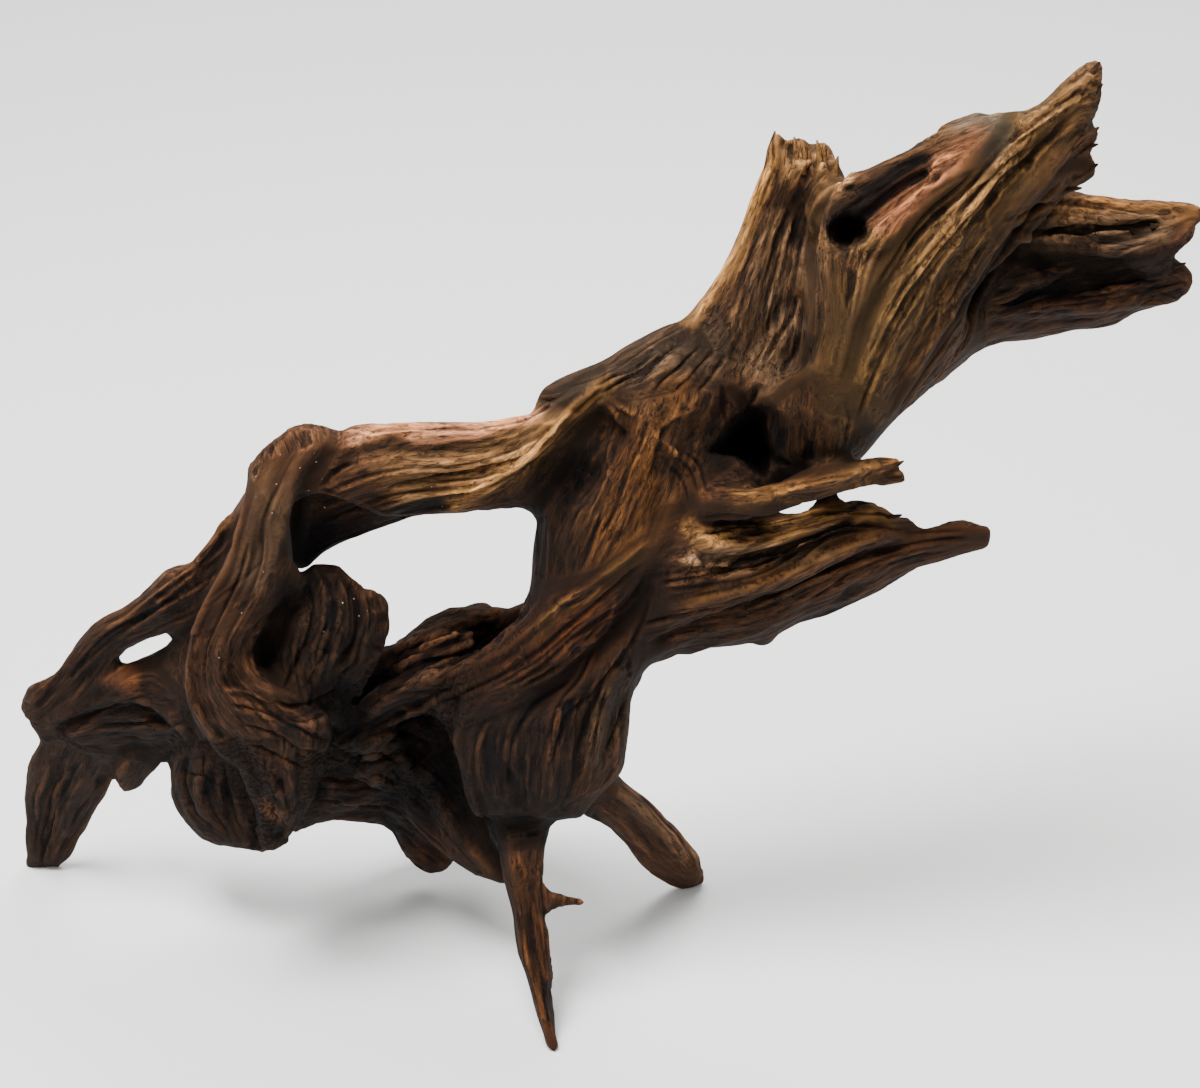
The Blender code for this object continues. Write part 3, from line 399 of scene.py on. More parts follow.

# Tones of the wood, as sRGB. DEPTH_OF_TONE evens out how much lighter the studio shows them.
# The darkest tones also stand for painted shade where they are laid in recesses and under limbs.
TONES = {
    "cream": (190, 150, 110),
    "gold": (164, 122, 76),
    "tan": (140, 106, 74),
    "ash": (116, 92, 74),
    "olive": (106, 82, 50),
    "ochre": (116, 82, 48),
    "orange": (96, 52, 20),
    "brown": (88, 60, 42),
    "umber": (66, 43, 28),
    "rust": (62, 36, 17),
    "dark": (44, 29, 20),
    "darkest_wood_and_shade": (28, 18, 12),
    "charcoal": (56, 46, 38),
    "grey": (84, 80, 76),
    "pink": (200, 142, 114),
    "rose": (154, 100, 72),
    # Near-black is painted shade, for the insides of holes and deep crevices.
    "painted_shade_black": (11, 7, 5),
}
GROUND_TONE = "umber"
GROUND_STRENGTH = 0.6
SPECK_COLOUR = (0.42, 0.38, 0.34, 1)
DEPTH_OF_TONE = np.array((0.41, 0.365, 0.275))

# Painted patches: tone, spread in grid steps, strength, then the traced line that they follow.
# The darkest patches are partly painted shade: under limbs and overhangs, in holes and crevices.
PATCHES = {
    "horn": [
        ("olive", 60, 1.0, [(1040, 130), (900, 300), (870, 400)]),
        ("olive", 22, 1.0, [(880, 250), (856, 320), (845, 400)]),
        ("tan", 10, 1.6, [(1090, 78), (1030, 132), (980, 190), (930, 260)]),
        ("tan", 6, 1.0, [(870, 262), (850, 310), (836, 380)]),
        ("brown", 18, 1.4, [(1065, 165), (1035, 215), (1000, 270)]),
        ("umber", 22, 1.6, [(985, 290), (940, 360), (890, 420)]),
        ("grey", 13, 3.4, [(970, 124), (998, 130), (994, 146)]),
        ("rose", 11, 4.0, [(972, 138), (946, 160), (914, 192), (888, 224)]),
        # Painted shade inside the recess of the knot hole.
        ("painted_shade_black", 13, 6.0, [(842, 218), (868, 204), (900, 184), (922, 164)]),
        ("tan", 7, 3.4, [(820, 240), (814, 214), (826, 194), (848, 178)]),
        ("umber", 12, 2.0, [(850, 262), (880, 255)]),
    ],
    "stub": [
        ("gold", 8, 3.6, [(764, 172), (750, 208), (732, 245), (712, 280), (692, 314)]),
        ("ash", 24, 1.8, [(792, 240), (782, 300), (765, 350)]),
        ("brown", 10, 1.2, [(800, 200), (795, 260), (785, 330)]),
        ("tan", 14, 2.0, [(780, 160), (830, 165)]),
    ],
    "crown": [
        ("charcoal", 26, 2.4, [(645, 372), (675, 352), (705, 350)]),
        ("charcoal", 18, 2.0, [(560, 392), (600, 376)]),
        ("darkest_wood_and_shade", 20, 3.0, [(728, 446), (760, 440)]),
        ("rust", 20, 2.4, [(815, 400), (815, 470)]),
        ("ochre", 30, 1.8, [(650, 420), (645, 480), (625, 530)]),
        ("orange", 26, 1.0, [(650, 420), (645, 480), (625, 530)]),
        ("rust", 18, 2.6, [(625, 436), (618, 500)]),
        ("umber", 18, 1.4, [(690, 470), (704, 505)]),
    ],
    "arch": [
        ("pink", 6, 3.6, [(350, 435), (420, 431), (480, 428), (535, 416)]),
        ("gold", 7, 2.6, [(600, 388), (560, 422), (530, 455), (500, 475), (450, 505)]),
        ("tan", 18, 1.8, [(560, 430), (480, 465), (400, 480)]),
        ("brown", 26, 1.6, [(360, 480), (320, 470)]),
        # Painted shade on the recessed underside of the arch.
        ("darkest_wood_and_shade", 18, 3.2, [(310, 545), (360, 526), (420, 514)]),
    ],
    "torso": [
        # The dark torso patches are partly dark wood and partly painted shade on its lower and
        # turned-away faces.
        ("darkest_wood_and_shade", 26, 2.6, [(580, 450), (552, 510), (545, 580)]),
        ("rust", 44, 2.4, [(590, 610), (555, 645), (500, 680)]),
        ("orange", 12, 1.6, [(600, 600), (560, 640), (510, 672)]),
        ("olive", 6, 1.8, [(645, 552), (600, 586), (560, 616), (530, 640)]),
        ("dark", 20, 3.0, [(650, 590), (638, 640), (630, 700)]),
        ("charcoal", 10, 2.2, [(622, 690), (608, 725), (600, 765)]),
        ("darkest_wood_and_shade", 44, 6.0, [(540, 700), (520, 770), (500, 800)]),
        ("rust", 8, 1.6, [(560, 690), (548, 760)]),
        ("dark", 6, 1.6, [(470, 700), (500, 720), (516, 760)]),
        ("darkest_wood_and_shade", 22, 3.4, [(500, 790), (560, 812)]),
    ],
    "lower_limb": [
        ("umber", 30, 2.0, [(680, 560), (760, 600), (840, 580)]),
        # Painted light: this strong pale patch lifts the crevice along the limb, which falls in shade.
        ("ash", 11, 4.5, [(700, 556), (760, 560), (820, 542)]),
        ("charcoal", 9, 2.0, [(700, 585), (760, 600), (830, 575)]),
        ("gold", 7, 2.2, [(690, 532), (760, 538), (800, 526), (850, 508), (890, 508)]),
        ("ochre", 6, 2.0, [(690, 600), (740, 590), (790, 575), (820, 552), (870, 534)]),
        ("umber", 16, 2.0, [(940, 545), (980, 535)]),
        # Painted shade on the belly of the limb, and in a thin line under the broken branch.
        ("dark", 14, 2.2, [(660, 656), (760, 640), (860, 588)]),
        ("ochre", 8, 2.6, [(740, 500), (800, 488), (850, 476), (895, 468)]),
        ("dark", 5, 2.6, [(740, 512), (800, 502), (850, 488), (895, 480)]),
    ],
    "right_limb": [
        ("ochre", 9, 2.0, [(1030, 218), (1090, 206), (1190, 210)]),
        ("ash", 14, 2.4, [(1030, 236), (1150, 232)]),
        # Painted shade under the overhang of the limb, and near-black painted shade in the crevice
        # between it and the horn.
        ("darkest_wood_and_shade", 26, 2.8, [(1000, 290), (1070, 282), (1140, 278)]),
        ("umber", 14, 1.6, [(1000, 328), (1080, 317), (1160, 298)]),
        ("painted_shade_black", 14, 4.0, [(970, 296), (1005, 258), (1040, 226)]),
    ],
    "front_limb": [
        ("brown", 14, 2.0, [(312, 436), (296, 455), (280, 480)]),
        ("ash", 16, 1.2, [(276, 490), (262, 530), (250, 570)]),
        ("umber", 26, 1.6, [(235, 600), (215, 650), (230, 720), (280, 760)]),
        ("brown", 8, 1.6, [(200, 640), (204, 690), (230, 724)]),
        ("darkest_wood_and_shade", 26, 2.2, [(240, 785), (275, 830)]),
        ("brown", 7, 1.8, [(250, 690), (290, 710), (320, 728)]),
        ("pink", 5, 1.8, [(264, 802), (280, 815)]),
    ],
    "ear": [
        # Painted shade over the ear's folds, and near-black painted shade in the hole below it.
        ("darkest_wood_and_shade", 40, 3.4, [(320, 600), (350, 630), (320, 660)]),
        ("umber", 6, 1.8, [(318, 568), (346, 574), (372, 594), (386, 614), (378, 650)]),
        ("painted_shade_black", 18, 7.0, [(345, 690), (358, 715)]),
        ("brown", 8, 2.0, [(290, 574)]),
    ],
    "back_limb": [
        ("brown", 24, 1.6, [(235, 520), (180, 585)]),
        ("dark", 28, 2.6, [(150, 615), (60, 695)]),
        ("brown", 8, 1.4, [(250, 495), (190, 570), (120, 625)]),
    ],
    "left_plates": [
        # The dark patches of the low left cluster are partly dark wood and partly painted shade.
        ("dark", 36, 3.4, [(60, 780), (50, 850)]),
        ("rose", 7, 3.0, [(112, 680), (132, 684)]),
        ("darkest_wood_and_shade", 30, 3.4, [(120, 722), (170, 732)]),
        ("darkest_wood_and_shade", 42, 4.0, [(200, 790), (250, 820)]),
    ],
    "root_mass": [
        # Painted shade over the root mass, which lies under the torso.
        ("darkest_wood_and_shade", 56, 4.0, [(340, 740), (420, 760), (440, 700)]),
        ("umber", 18, 2.0, [(400, 660), (470, 630), (510, 618)]),
        # Painted shade in the holes under the root mass.
        ("painted_shade_black", 20, 9.0, [(400, 800), (404, 812)]),
        ("painted_shade_black", 16, 8.0, [(430, 790), (448, 780)]),
        ("rust", 22, 2.2, [(430, 850)]),
        ("brown", 8, 1.8, [(475, 850), (490, 868)]),
    ],
    "feet": [
        ("rust", 18, 3.4, [(515, 870), (535, 960), (552, 1040)]),
        ("darkest_wood_and_shade", 9, 5.0, [(500, 840), (516, 900), (532, 1000)]),
        ("brown", 22, 1.6, [(610, 800), (690, 870)]),
        ("ash", 7, 1.4, [(630, 798), (690, 858)]),
    ],
}

# White mineral specks: how densely they sit, the spread in grid steps and the traced line.
SPECKS = [
    (0.16, 22, [(296, 446), (280, 500)]),
    (0.06, 18, [(262, 560), (228, 640), (226, 680)]),
    (0.10, 26, [(320, 590), (330, 640)]),
    (0.04, 30, [(350, 470), (460, 470)]),
]

# The studio: half the floor's side, its colour, the strength of the white surround, and the area
# lights with their place, size in metres and power in watts, all turned towards one point.
FLOOR_HALF = 6
FLOOR_COLOUR = (0.8, 0.8, 0.79)
SURROUND = 0.7
LIGHTS = [
    ("key", (-0.5, -0.4, 2.3), 0.9, 130),
    ("fill", (1.5, -1.8, 1.2), 1.6, 6),
    ("back", (0.4, 1.2, 1.9), 1.2, 36),
]
LIT_POINT = Vector((0, 0, 0.25))
SENSOR_WIDTH = 36


def sight_ray(x, y):
    """The unit vector from the eye through a grid point."""
    across = Vector(((x - GRID_MIDDLE[0]) * UNIT, 0, 0))
    up = GRID_UP * ((GRID_MIDDLE[1] - y) * UNIT)
    return (SHIFT + across + up - EYE).normalized()


def to_grid(points):
    """Grid x, y of points in the row frame, as the eye sees them."""
    local = points - np.array(SHIFT)
    near = VIEW_DISTANCE / (VIEW_DISTANCE - local @ np.array(TO_VIEWER))
    return np.stack(
        [
            GRID_MIDDLE[0] + local[:, 0] * near / UNIT,
            GRID_MIDDLE[1] - local @ np.array(GRID_UP) * near / UNIT,
        ],
        axis=1,
    )


def curve_through(points, step):
    """Points every `step` grid units along a smooth curve through traced points."""
    rows = np.array(points, float)
    if len(rows) == 2:
        rows = np.array([rows[0], (rows[0] + rows[1]) / 2, rows[1]])
    padded = np.vstack([2 * rows[0] - rows[1], rows, 2 * rows[-1] - rows[-2]])
    found = []
    for before, start, end, after in zip(padded, padded[1:], padded[2:], padded[3:]):
        steps = max(1, round(float(np.linalg.norm(end - start)) / step))
        t = (np.arange(steps) / steps)[:, None]
        found.append(
            0.5
            * (
                2 * start
                + (end - before) * t
                + (2 * before - 5 * start + 4 * end - after) * t**2
                + (3 * start - before - 3 * end + after) * t**3
            )
        )
    found.append(rows[-1:])
    return np.vstack(found)


def resampled(points, count):
    """The same curve with `count` evenly spaced points."""
    curve = curve_through(points, 3)
    along = np.concatenate([[0], np.cumsum(np.linalg.norm(np.diff(curve, axis=0), axis=1))])
    even = np.linspace(0, along[-1], count)
    return np.stack([np.interp(even, along, curve[:, axis]) for axis in range(2)], axis=1)


class Skin:
    """The fine mesh of the wood as arrays, with its neighbours and normals."""

    def __init__(self, mesh):
        count = len(mesh.vertices)
        self.points = np.empty(count * 3, np.float32)
        mesh.vertices.foreach_get("co", self.points)
        self.points = self.points.reshape(-1, 3).astype(float)
        self.edges = np.empty(len(mesh.edges) * 2, np.int32)
        mesh.edges.foreach_get("vertices", self.edges)
        self.edges = self.edges.reshape(-1, 2)
        self.faces = np.empty(len(mesh.polygons) * 4, np.int32)
        mesh.polygons.foreach_get("vertices", self.faces)
        self.faces = self.faces.reshape(-1, 4)
        self.links = np.bincount(self.edges.ravel(), minlength=count)
        self.find_normals()

    def find_normals(self):
        """Each point's normal, from the quads around it weighted by their size."""
        corners = self.points[self.faces]
        across = np.cross(corners[:, 2] - corners[:, 0], corners[:, 3] - corners[:, 1])
        normals = np.zeros_like(self.points)
        for corner in range(4):
            for axis in range(3):
                normals[:, axis] += np.bincount(
                    self.faces[:, corner], across[:, axis], minlength=len(self.points)
                )
        self.normals = normals / np.maximum(np.linalg.norm(normals, axis=1, keepdims=True), 1e-12)

    def spread(self, values, rounds, share=0.5):
        """Values moved towards their neighbours' mean, `rounds` times."""
        flat = values.reshape(len(values), -1).copy()
        first, second = self.edges.T
        for _ in range(rounds):
            for column in range(flat.shape[1]):
                value = flat[:, column]
                total = np.bincount(first, value[second], len(value))
                total += np.bincount(second, value[first], len(value))
                flat[:, column] = value + share * (total / self.links - value)
        return flat.reshape(values.shape)

    def smooth_facets(self, rounds):
        """Rounds the facets off without shrinking the limbs."""
        for _ in range(rounds):
            for share in SMOOTHING_STEPS:
                self.points = self.spread(self.points, 1, share)
        self.find_normals()


def fine_skin(cad):
    """The CAD surface as an even mesh of small quads."""
    mesh = cad.data.copy()
    mesh.transform(cad.matrix_world)
    obj = bpy.data.objects.new("skin", mesh)
    bpy.context.scene.collection.objects.link(obj)
    remesh = obj.modifiers.new("Remesh", "REMESH")
    remesh.mode = "VOXEL"
    remesh.voxel_size = SKIN_VOXEL
    graph = bpy.context.evaluated_depsgraph_get()
    fine = bpy.data.meshes.new_from_object(obj.evaluated_get(graph))
    bpy.data.objects.remove(obj)
    skin = Skin(fine)
    skin.smooth_facets(FACET_SMOOTHING)
    return skin


class Tracer:
    """Finds where traced lines run over the wood, on the near and on the far side."""

    def __init__(self, cad):
        mesh = cad.data
        world = cad.matrix_world
        self.tree = BVHTree.FromPolygons(
            [world @ vert.co for vert in mesh.vertices], [face.vertices for face in mesh.polygons]
        )

    def hits(self, curve, far_side):
        """The point under each grid point of the curve, or None beside the wood."""
        found = []
        for x, y in curve:
            ray = sight_ray(x, y)
            if far_side:
                hit = self.tree.ray_cast(EYE + ray * 2 * VIEW_DISTANCE, -ray)[0]
            else:
                hit = self.tree.ray_cast(EYE, ray)[0]
            found.append(hit)
        return found


def family_lines(name, draw):
    """The fine grooves of one family, as curves with their depth and reach in millimetres."""
    count, depth, reach, first, second = GRAIN_FAMILIES[name]
    points = 24
    first = resampled(first, points)
    second = resampled(second, points)
    lines = []
    for i in range(count):
        share = (i + draw.uniform(0.2, 0.8)) / count
        start = draw.randrange(0, 10)
        end = points - draw.randrange(0, 10)
        sway = draw.uniform(-1.5, 1.5)
        line = []
        for k in range(start, end):
            point = first[k] + (second[k] - first[k]) * share
            line.append(point + sway * math.sin(k * 0.7 + i))
        bite = 0.25 + 1.35 * draw.random() ** 2.5
        lines.append((-depth * bite, reach * draw.uniform(0.65, 1.1), line))
        if bite > 0.7:
            beside = [point + np.array((2.5, 2.5)) for point in line]
            lines.append((depth * bite * 0.5, reach, beside))
    return lines


def all_strokes():
    """Every stroke as height and reach in metres with its curve, and whether it is on the far side."""
    draw = random.Random(11)
    for name in GRAIN_FAMILIES:
        for height, reach, line in family_lines(name, draw):
            curve = curve_through(line, 2)
            yield height * MM, reach * MM, curve, False
            far_curve = curve + np.array(FAR_SIDE_SHIFT)
            yield height * MM, reach * MM * FAR_SIDE_REACH, far_curve, True
    for strokes in STROKES.values():
        for height, reach, points in strokes:
            yield height * MM, reach * MM, curve_through(points, 1.5), False


def sculpt(skin, tracer):
    """Cuts the strokes into the skin."""
    nearby = KDTree(len(skin.points))
    for index, point in enumerate(skin.points):
        nearby.insert(point, index)
    nearby.balance()
    lift = np.zeros(len(skin.points))
    for height, reach, curve, far_side in all_strokes():
        hits = tracer.hits(curve, far_side)
        strongest = {}
        for i, hit in enumerate(hits):
            if hit is None:
                continue
            bite = min(1, (i + 1) / 8, (len(hits) - i) / 8)
            for place, index, distance in nearby.find_range(hit, reach):
                share = bite * (1 - distance / reach) ** 1.3
                if share > strongest.get(index, 0):
                    strongest[index] = share
        if strongest:
            touched = np.fromiter(strongest.keys(), int)
            lift[touched] += height * np.fromiter(strongest.values(), float)
    deepest, highest = STROKE_LIMITS
    lift = np.clip(lift, deepest * MM, highest * MM)
    skin.points += skin.normals * lift[:, None]
    skin.find_normals()


def grain_tracks():
    """Rows along the grain of every family: place on the grid, the coordinates across and along
    the grain there, and how fast the two grow over the grid. Every row is one station of a track.
    """
    rows = []
    for number, (first, second) in enumerate(family[3:] for family in GRAIN_FAMILIES.values()):
        first = resampled(first, STATIONS)
        second = resampled(second, STATIONS)
        width = np.linalg.norm(second - first, axis=1).mean()
        length = np.linalg.norm(np.diff((first + second) / 2, axis=0), axis=1).sum()
        base = FAMILY_DISTANCE * number
        for share in np.linspace(-TRACK_OVERHANG, 1 + TRACK_OVERHANG, TRACKS):
            line = first + (second - first) * share
            run = np.gradient(line, axis=0)
            for k in range(STATIONS):
                across = second[k] - first[k]
                across = across * width / max(across @ across, 1)
                along = run[k] * length / (STATIONS - 1) / max(run[k] @ run[k], 0.01)
                station = k / (STATIONS - 1) * length
                rows.append((*line[k], base + share * width, station, *across, *along))
    return np.array(rows)


def limb_depth(tracks, found, along, depth):
    """How deep the middle of the limb lies at each point of the skin, from the points near the
    same station and the next one.
    """
    family = found // (STATIONS * TRACKS)
    station = found % STATIONS
    group = family * STATIONS + station
    filled = np.maximum(np.bincount(group, minlength=group.max() + 1), 1)
    middle = np.bincount(group, depth) / filled
    step = tracks[1 :: STATIONS * TRACKS, 3]
    share = along / step[family] - station
    toward = np.clip(group + np.sign(share).astype(int), 0, len(middle) - 1)
    same = toward // STATIONS == group // STATIONS
    share = np.where(same, np.clip(np.abs(share), 0, 0.5), 0)
    return middle[group] * (1 - share) + middle[toward] * share


def grain_space(skin):
    """Coordinates that run slowly along the traced grain, and at true scale across it and in depth."""
    tracks = grain_tracks()
    nearby = KDTree(len(tracks))
    for index, (x, y) in enumerate(tracks[:, :2]):
        nearby.insert((x, y, 0), index)
    nearby.balance()
    spots = to_grid(skin.points)
    found = np.array([nearby.find((x, y, 0))[1] for x, y in spots])
    track = tracks[found]
    off = spots - track[:, :2]
    across = track[:, 2] + (off * track[:, 4:6]).sum(1)
    along = track[:, 3] + (off * track[:, 6:8]).sum(1)
    depth = (skin.points - np.array(SHIFT)) @ np.array(TO_VIEWER) / UNIT
    depth -= limb_depth(tracks, found, along, depth)
    grain = np.stack([across, along / GRAIN_STRETCH, DEPTH_SHARE * depth], axis=1) * UNIT
    return skin.spread(grain, 6)


def evenness(skin, grain):
    """1 where the grain runs evenly over the skin, falling to 0 where two runs of it meet."""
    edges = skin.edges
    steps = ((grain[edges[:, 0]] - grain[edges[:, 1]]) ** 2).sum(1)
    steps /= ((skin.points[edges[:, 0]] - skin.points[edges[:, 1]]) ** 2).sum(1) + 1e-12
    total = np.bincount(edges.ravel(), steps.repeat(2), minlength=len(grain))
    uneven = skin.spread(np.clip(total / np.maximum(skin.links, 1), 0, 6), 3)
    return skin.spread(np.clip(2.2 - 1.2 * uneven, 0, 1), 2)


def noise_at(points, scale, seed, octaves=1):
    """Noise of about -1 to 1 with features of `scale` metres."""
    offset = Vector((seed * 7.3, seed * 3.1, seed * 5.7))
    values = np.empty(len(points))
    if octaves == 1:
        for index, point in enumerate(points / scale):
            values[index] = noise.noise(Vector(point) + offset)
    else:
        for index, point in enumerate(points / scale):
            values[index] = noise.fractal(Vector(point) + offset, 0.6, 2.1, octaves)
    return values


def raise_relief(skin, grain, even):
    """Fibres, fissures and rough areas. Returns the streaks for the paint."""
    broad = noise_at(grain, RELIEF_SCALES["broad"], 1) * even
    middle = noise_at(grain, RELIEF_SCALES["middle"], 2) * even
    fine = noise_at(grain, RELIEF_SCALES["fine"], 3) * even
    lumps = noise_at(skin.points, LUMP_SCALE, 4)
    fissure = np.clip((broad - 0.22) / 0.14, 0, 1) * np.clip(0.6 + 2 * lumps, 0, 1)
    height = 0.5 * middle + 0.5 * fine + 1.0 * lumps - 1.4 * fissure
    between = 0.35 * skin.points + 0.65 * grain
    crumple = 1 - 2 * np.abs(noise_at(between, CRUMPLE_SCALE, 8, 2))
    spots = to_grid(skin.points)
    for rise, reach, line in ROUGH_AREAS:
        height += 0.6 * rise * crumple * np.exp(-((distance_to_line(spots, line) / reach) ** 2))
    height = skin.spread(np.clip(height, *RELIEF_LIMITS), 1)
    skin.points += skin.normals * (height * MM)[:, None]
    skin.points[:, 2] = np.maximum(skin.points[:, 2], 0)
    skin.find_normals()
    return broad, middle, fine, fissure


def openness(cad, skin):
    """How much of the surroundings each point of the skin sees, 0 to 1."""
    mesh = cad.data
    world = cad.matrix_world
    points = [world @ vert.co for vert in mesh.vertices]
    tree = BVHTree.FromPolygons(points, [face.vertices for face in mesh.polygons])
    draw = random.Random(3)
    rays = []
    while len(rays) < SKY_RAYS:
        ray = Vector((draw.uniform(-1, 1), draw.uniform(-1, 1), draw.uniform(-1, 1)))
        if 0.1 < ray.length < 1:
            rays.append(ray.normalized())
    seen = KDTree(len(points))
    shares = np.empty(len(points))
    for index, point in enumerate(points):
        normal = mesh.vertices[index].normal
        start = point + normal * 0.002
        free = total = 0
        for ray in rays:
            lean = ray.dot(normal)
            if lean < 0:
                ray = -ray
            free += abs(lean) * (tree.ray_cast(start, ray, SKY_REACH)[0] is None)
            total += abs(lean)
        shares[index] = free / total
        seen.insert(point, index)
    seen.balance()
    found = np.empty(len(skin.points))
    for row, point in enumerate(skin.points):
        found[row] = shares[seen.find(point)[1]]
    return skin.spread(found, 16)


def hollow_measure(skin, rounds):
    """How deep each point lies below its neighbourhood, in metres: above 0 in hollows."""
    mean = skin.spread(skin.points, rounds)
    return ((mean - skin.points) * skin.normals).sum(1)


def linear(tone):
    """A tone of TONES as linear red, green and blue."""
    value = np.array(tone) / 255
    return np.where(value <= 0.04045, value / 12.92, ((value + 0.055) / 1.055) ** 2.4)


def distance_to_line(points, line):
    """Distance in grid steps from each point to a traced line."""
    if len(line) == 1:
        return np.linalg.norm(points - np.array(line[0]), axis=1)
    best = np.full(len(points), np.inf)
    for start, end in zip(np.array(line, float), np.array(line, float)[1:]):
        run = end - start
        share = np.clip(((points - start) @ run) / (run @ run), 0, 1)
        best = np.minimum(best, np.linalg.norm(points - start - share[:, None] * run, axis=1))
    return best


def paint(skin, grain, streaks, sky):
    """The colour of each point, linear, with painted shade in hollows and painted light and shade by
    how each face turns.
    """
    broad, middle, fine, fissure = streaks
    wander = noise_at(grain, 0.012, 5)
    blotch = noise_at(skin.points, 0.02, 6)
    spots = to_grid(skin.points)
    spots = spots + np.stack([12 * wander + 5 * middle, 12 * blotch + 5 * broad], axis=1)
    colour = np.tile(linear(TONES[GROUND_TONE]) * GROUND_STRENGTH, (len(spots), 1))
    total = np.full(len(spots), GROUND_STRENGTH)
    for patches in PATCHES.values():
        for tone, reach, strength, line in patches:
            weight = strength * np.exp(-((distance_to_line(spots, line) / reach) ** 2))
            colour += linear(TONES[tone]) * weight[:, None]
            total += weight
    colour /= total[:, None]
    streak = 0.25 * broad + 0.4 * middle + 0.35 * fine + 0.2 * wander - 0.9 * fissure
    warm = np.array([1.0, 0.95, 0.82])
    colour *= np.exp(streak)[:, None] * warm ** (blotch[:, None] * 1.2)
    # Painted shade: points in hollows and creases, measured at three sizes, are painted darker, and
    # points on ridges lighter.
    near = hollow_measure(skin, 3) / (0.22 * MM)
    wide = hollow_measure(skin, 24) / (1.1 * MM)
    broadest = hollow_measure(skin, 120) / (3.5 * MM)
    shade = np.clip(0.45 * near, -0.5, 0.8) + np.clip(0.4 * wide, -0.4, 0.9)
    shade += np.clip(0.3 * broadest, -0.2, 0.5)
    # Painted light and shade: faces turned up are painted lighter and faces turned down darker, and
    # points that see little of their surroundings are painted darker.
    painted_top_light_and_shade = 0.45 * skin.normals[:, 2] + 1.5 * (np.clip(sky, 0, 0.85) - 0.7)
    colour *= np.exp(painted_top_light_and_shade - shade)[:, None] * DEPTH_OF_TONE
    return np.clip(colour, 0.0015, 0.8)


def speck_density(skin):
    """How many mineral specks cling to each point."""
    spots = to_grid(skin.points)
    density = np.zeros(len(spots))
    for share, reach, line in SPECKS:
        density += share * np.exp(-((distance_to_line(spots, line) / reach) ** 2))
    return density


def splinters(tracer, material):
    """Thin jagged slivers that stand up from the broken ends."""
    draw = random.Random(9)
    points, faces, grain, tones = [], [], [], []
    for base, tip, width in SPLINTERS:
        hit = tracer.hits([base], False)[0]
        if hit is None:
            continue
        depth = (hit - EYE).length + SPLINTER_DEPTH
        root = EYE + sight_ray(*base) * depth
        end = EYE + sight_ray(*tip) * (depth + draw.uniform(0, 0.002))
        run = end - root
        across = run.cross(TO_VIEWER).normalized()
        out = run.cross(across).normalized()
        bend = across * draw.uniform(-0.0012, 0.0012)
        shade = draw.uniform(0.6, 1.15)
        on_stub = base[0] < STUB_RIGHT and base[1] < STUB_FOOT
        colour = linear(TONES["gold" if on_stub else "brown"]) * shade
        first = len(points)
        for share, size in SPLINTER_RINGS:
            middle = root + run * share + bend * math.sin(math.pi * max(share, 0))
            for side in range(SPLINTER_SIDES):
                angle = 2 * math.pi * side / SPLINTER_SIDES
                radius = width * MM / 2 * size * draw.uniform(0.75, 1.2)
                lean = across * math.cos(angle) * radius + out * math.sin(angle) * radius * 0.7
                points.append(middle + lean)
                grain.append(points[-1] / 3 + lean * 0.67)
                tones.append(colour * draw.uniform(0.7, 1.2) * DEPTH_OF_TONE)
        faces += sliver_faces(first)
    return wood_mesh("splinters", points, faces, np.array(grain), np.array(tones), None, material)


def sliver_faces(first):
    """The faces of one closed sliver whose rings of points start at index `first`."""
    sides = SPLINTER_SIDES
    faces = []
    for ring in range(len(SPLINTER_RINGS) - 1):
        for side in range(sides):
            start = first + ring * sides
            above = start + sides
            beside = (side + 1) % sides
            faces.append((start + side, start + beside, above + beside, above + side))
    last = first + (len(SPLINTER_RINGS) - 1) * sides
    faces.append([last + side for side in range(sides)])
    faces.append([first + side for side in reversed(range(sides))])
    return faces


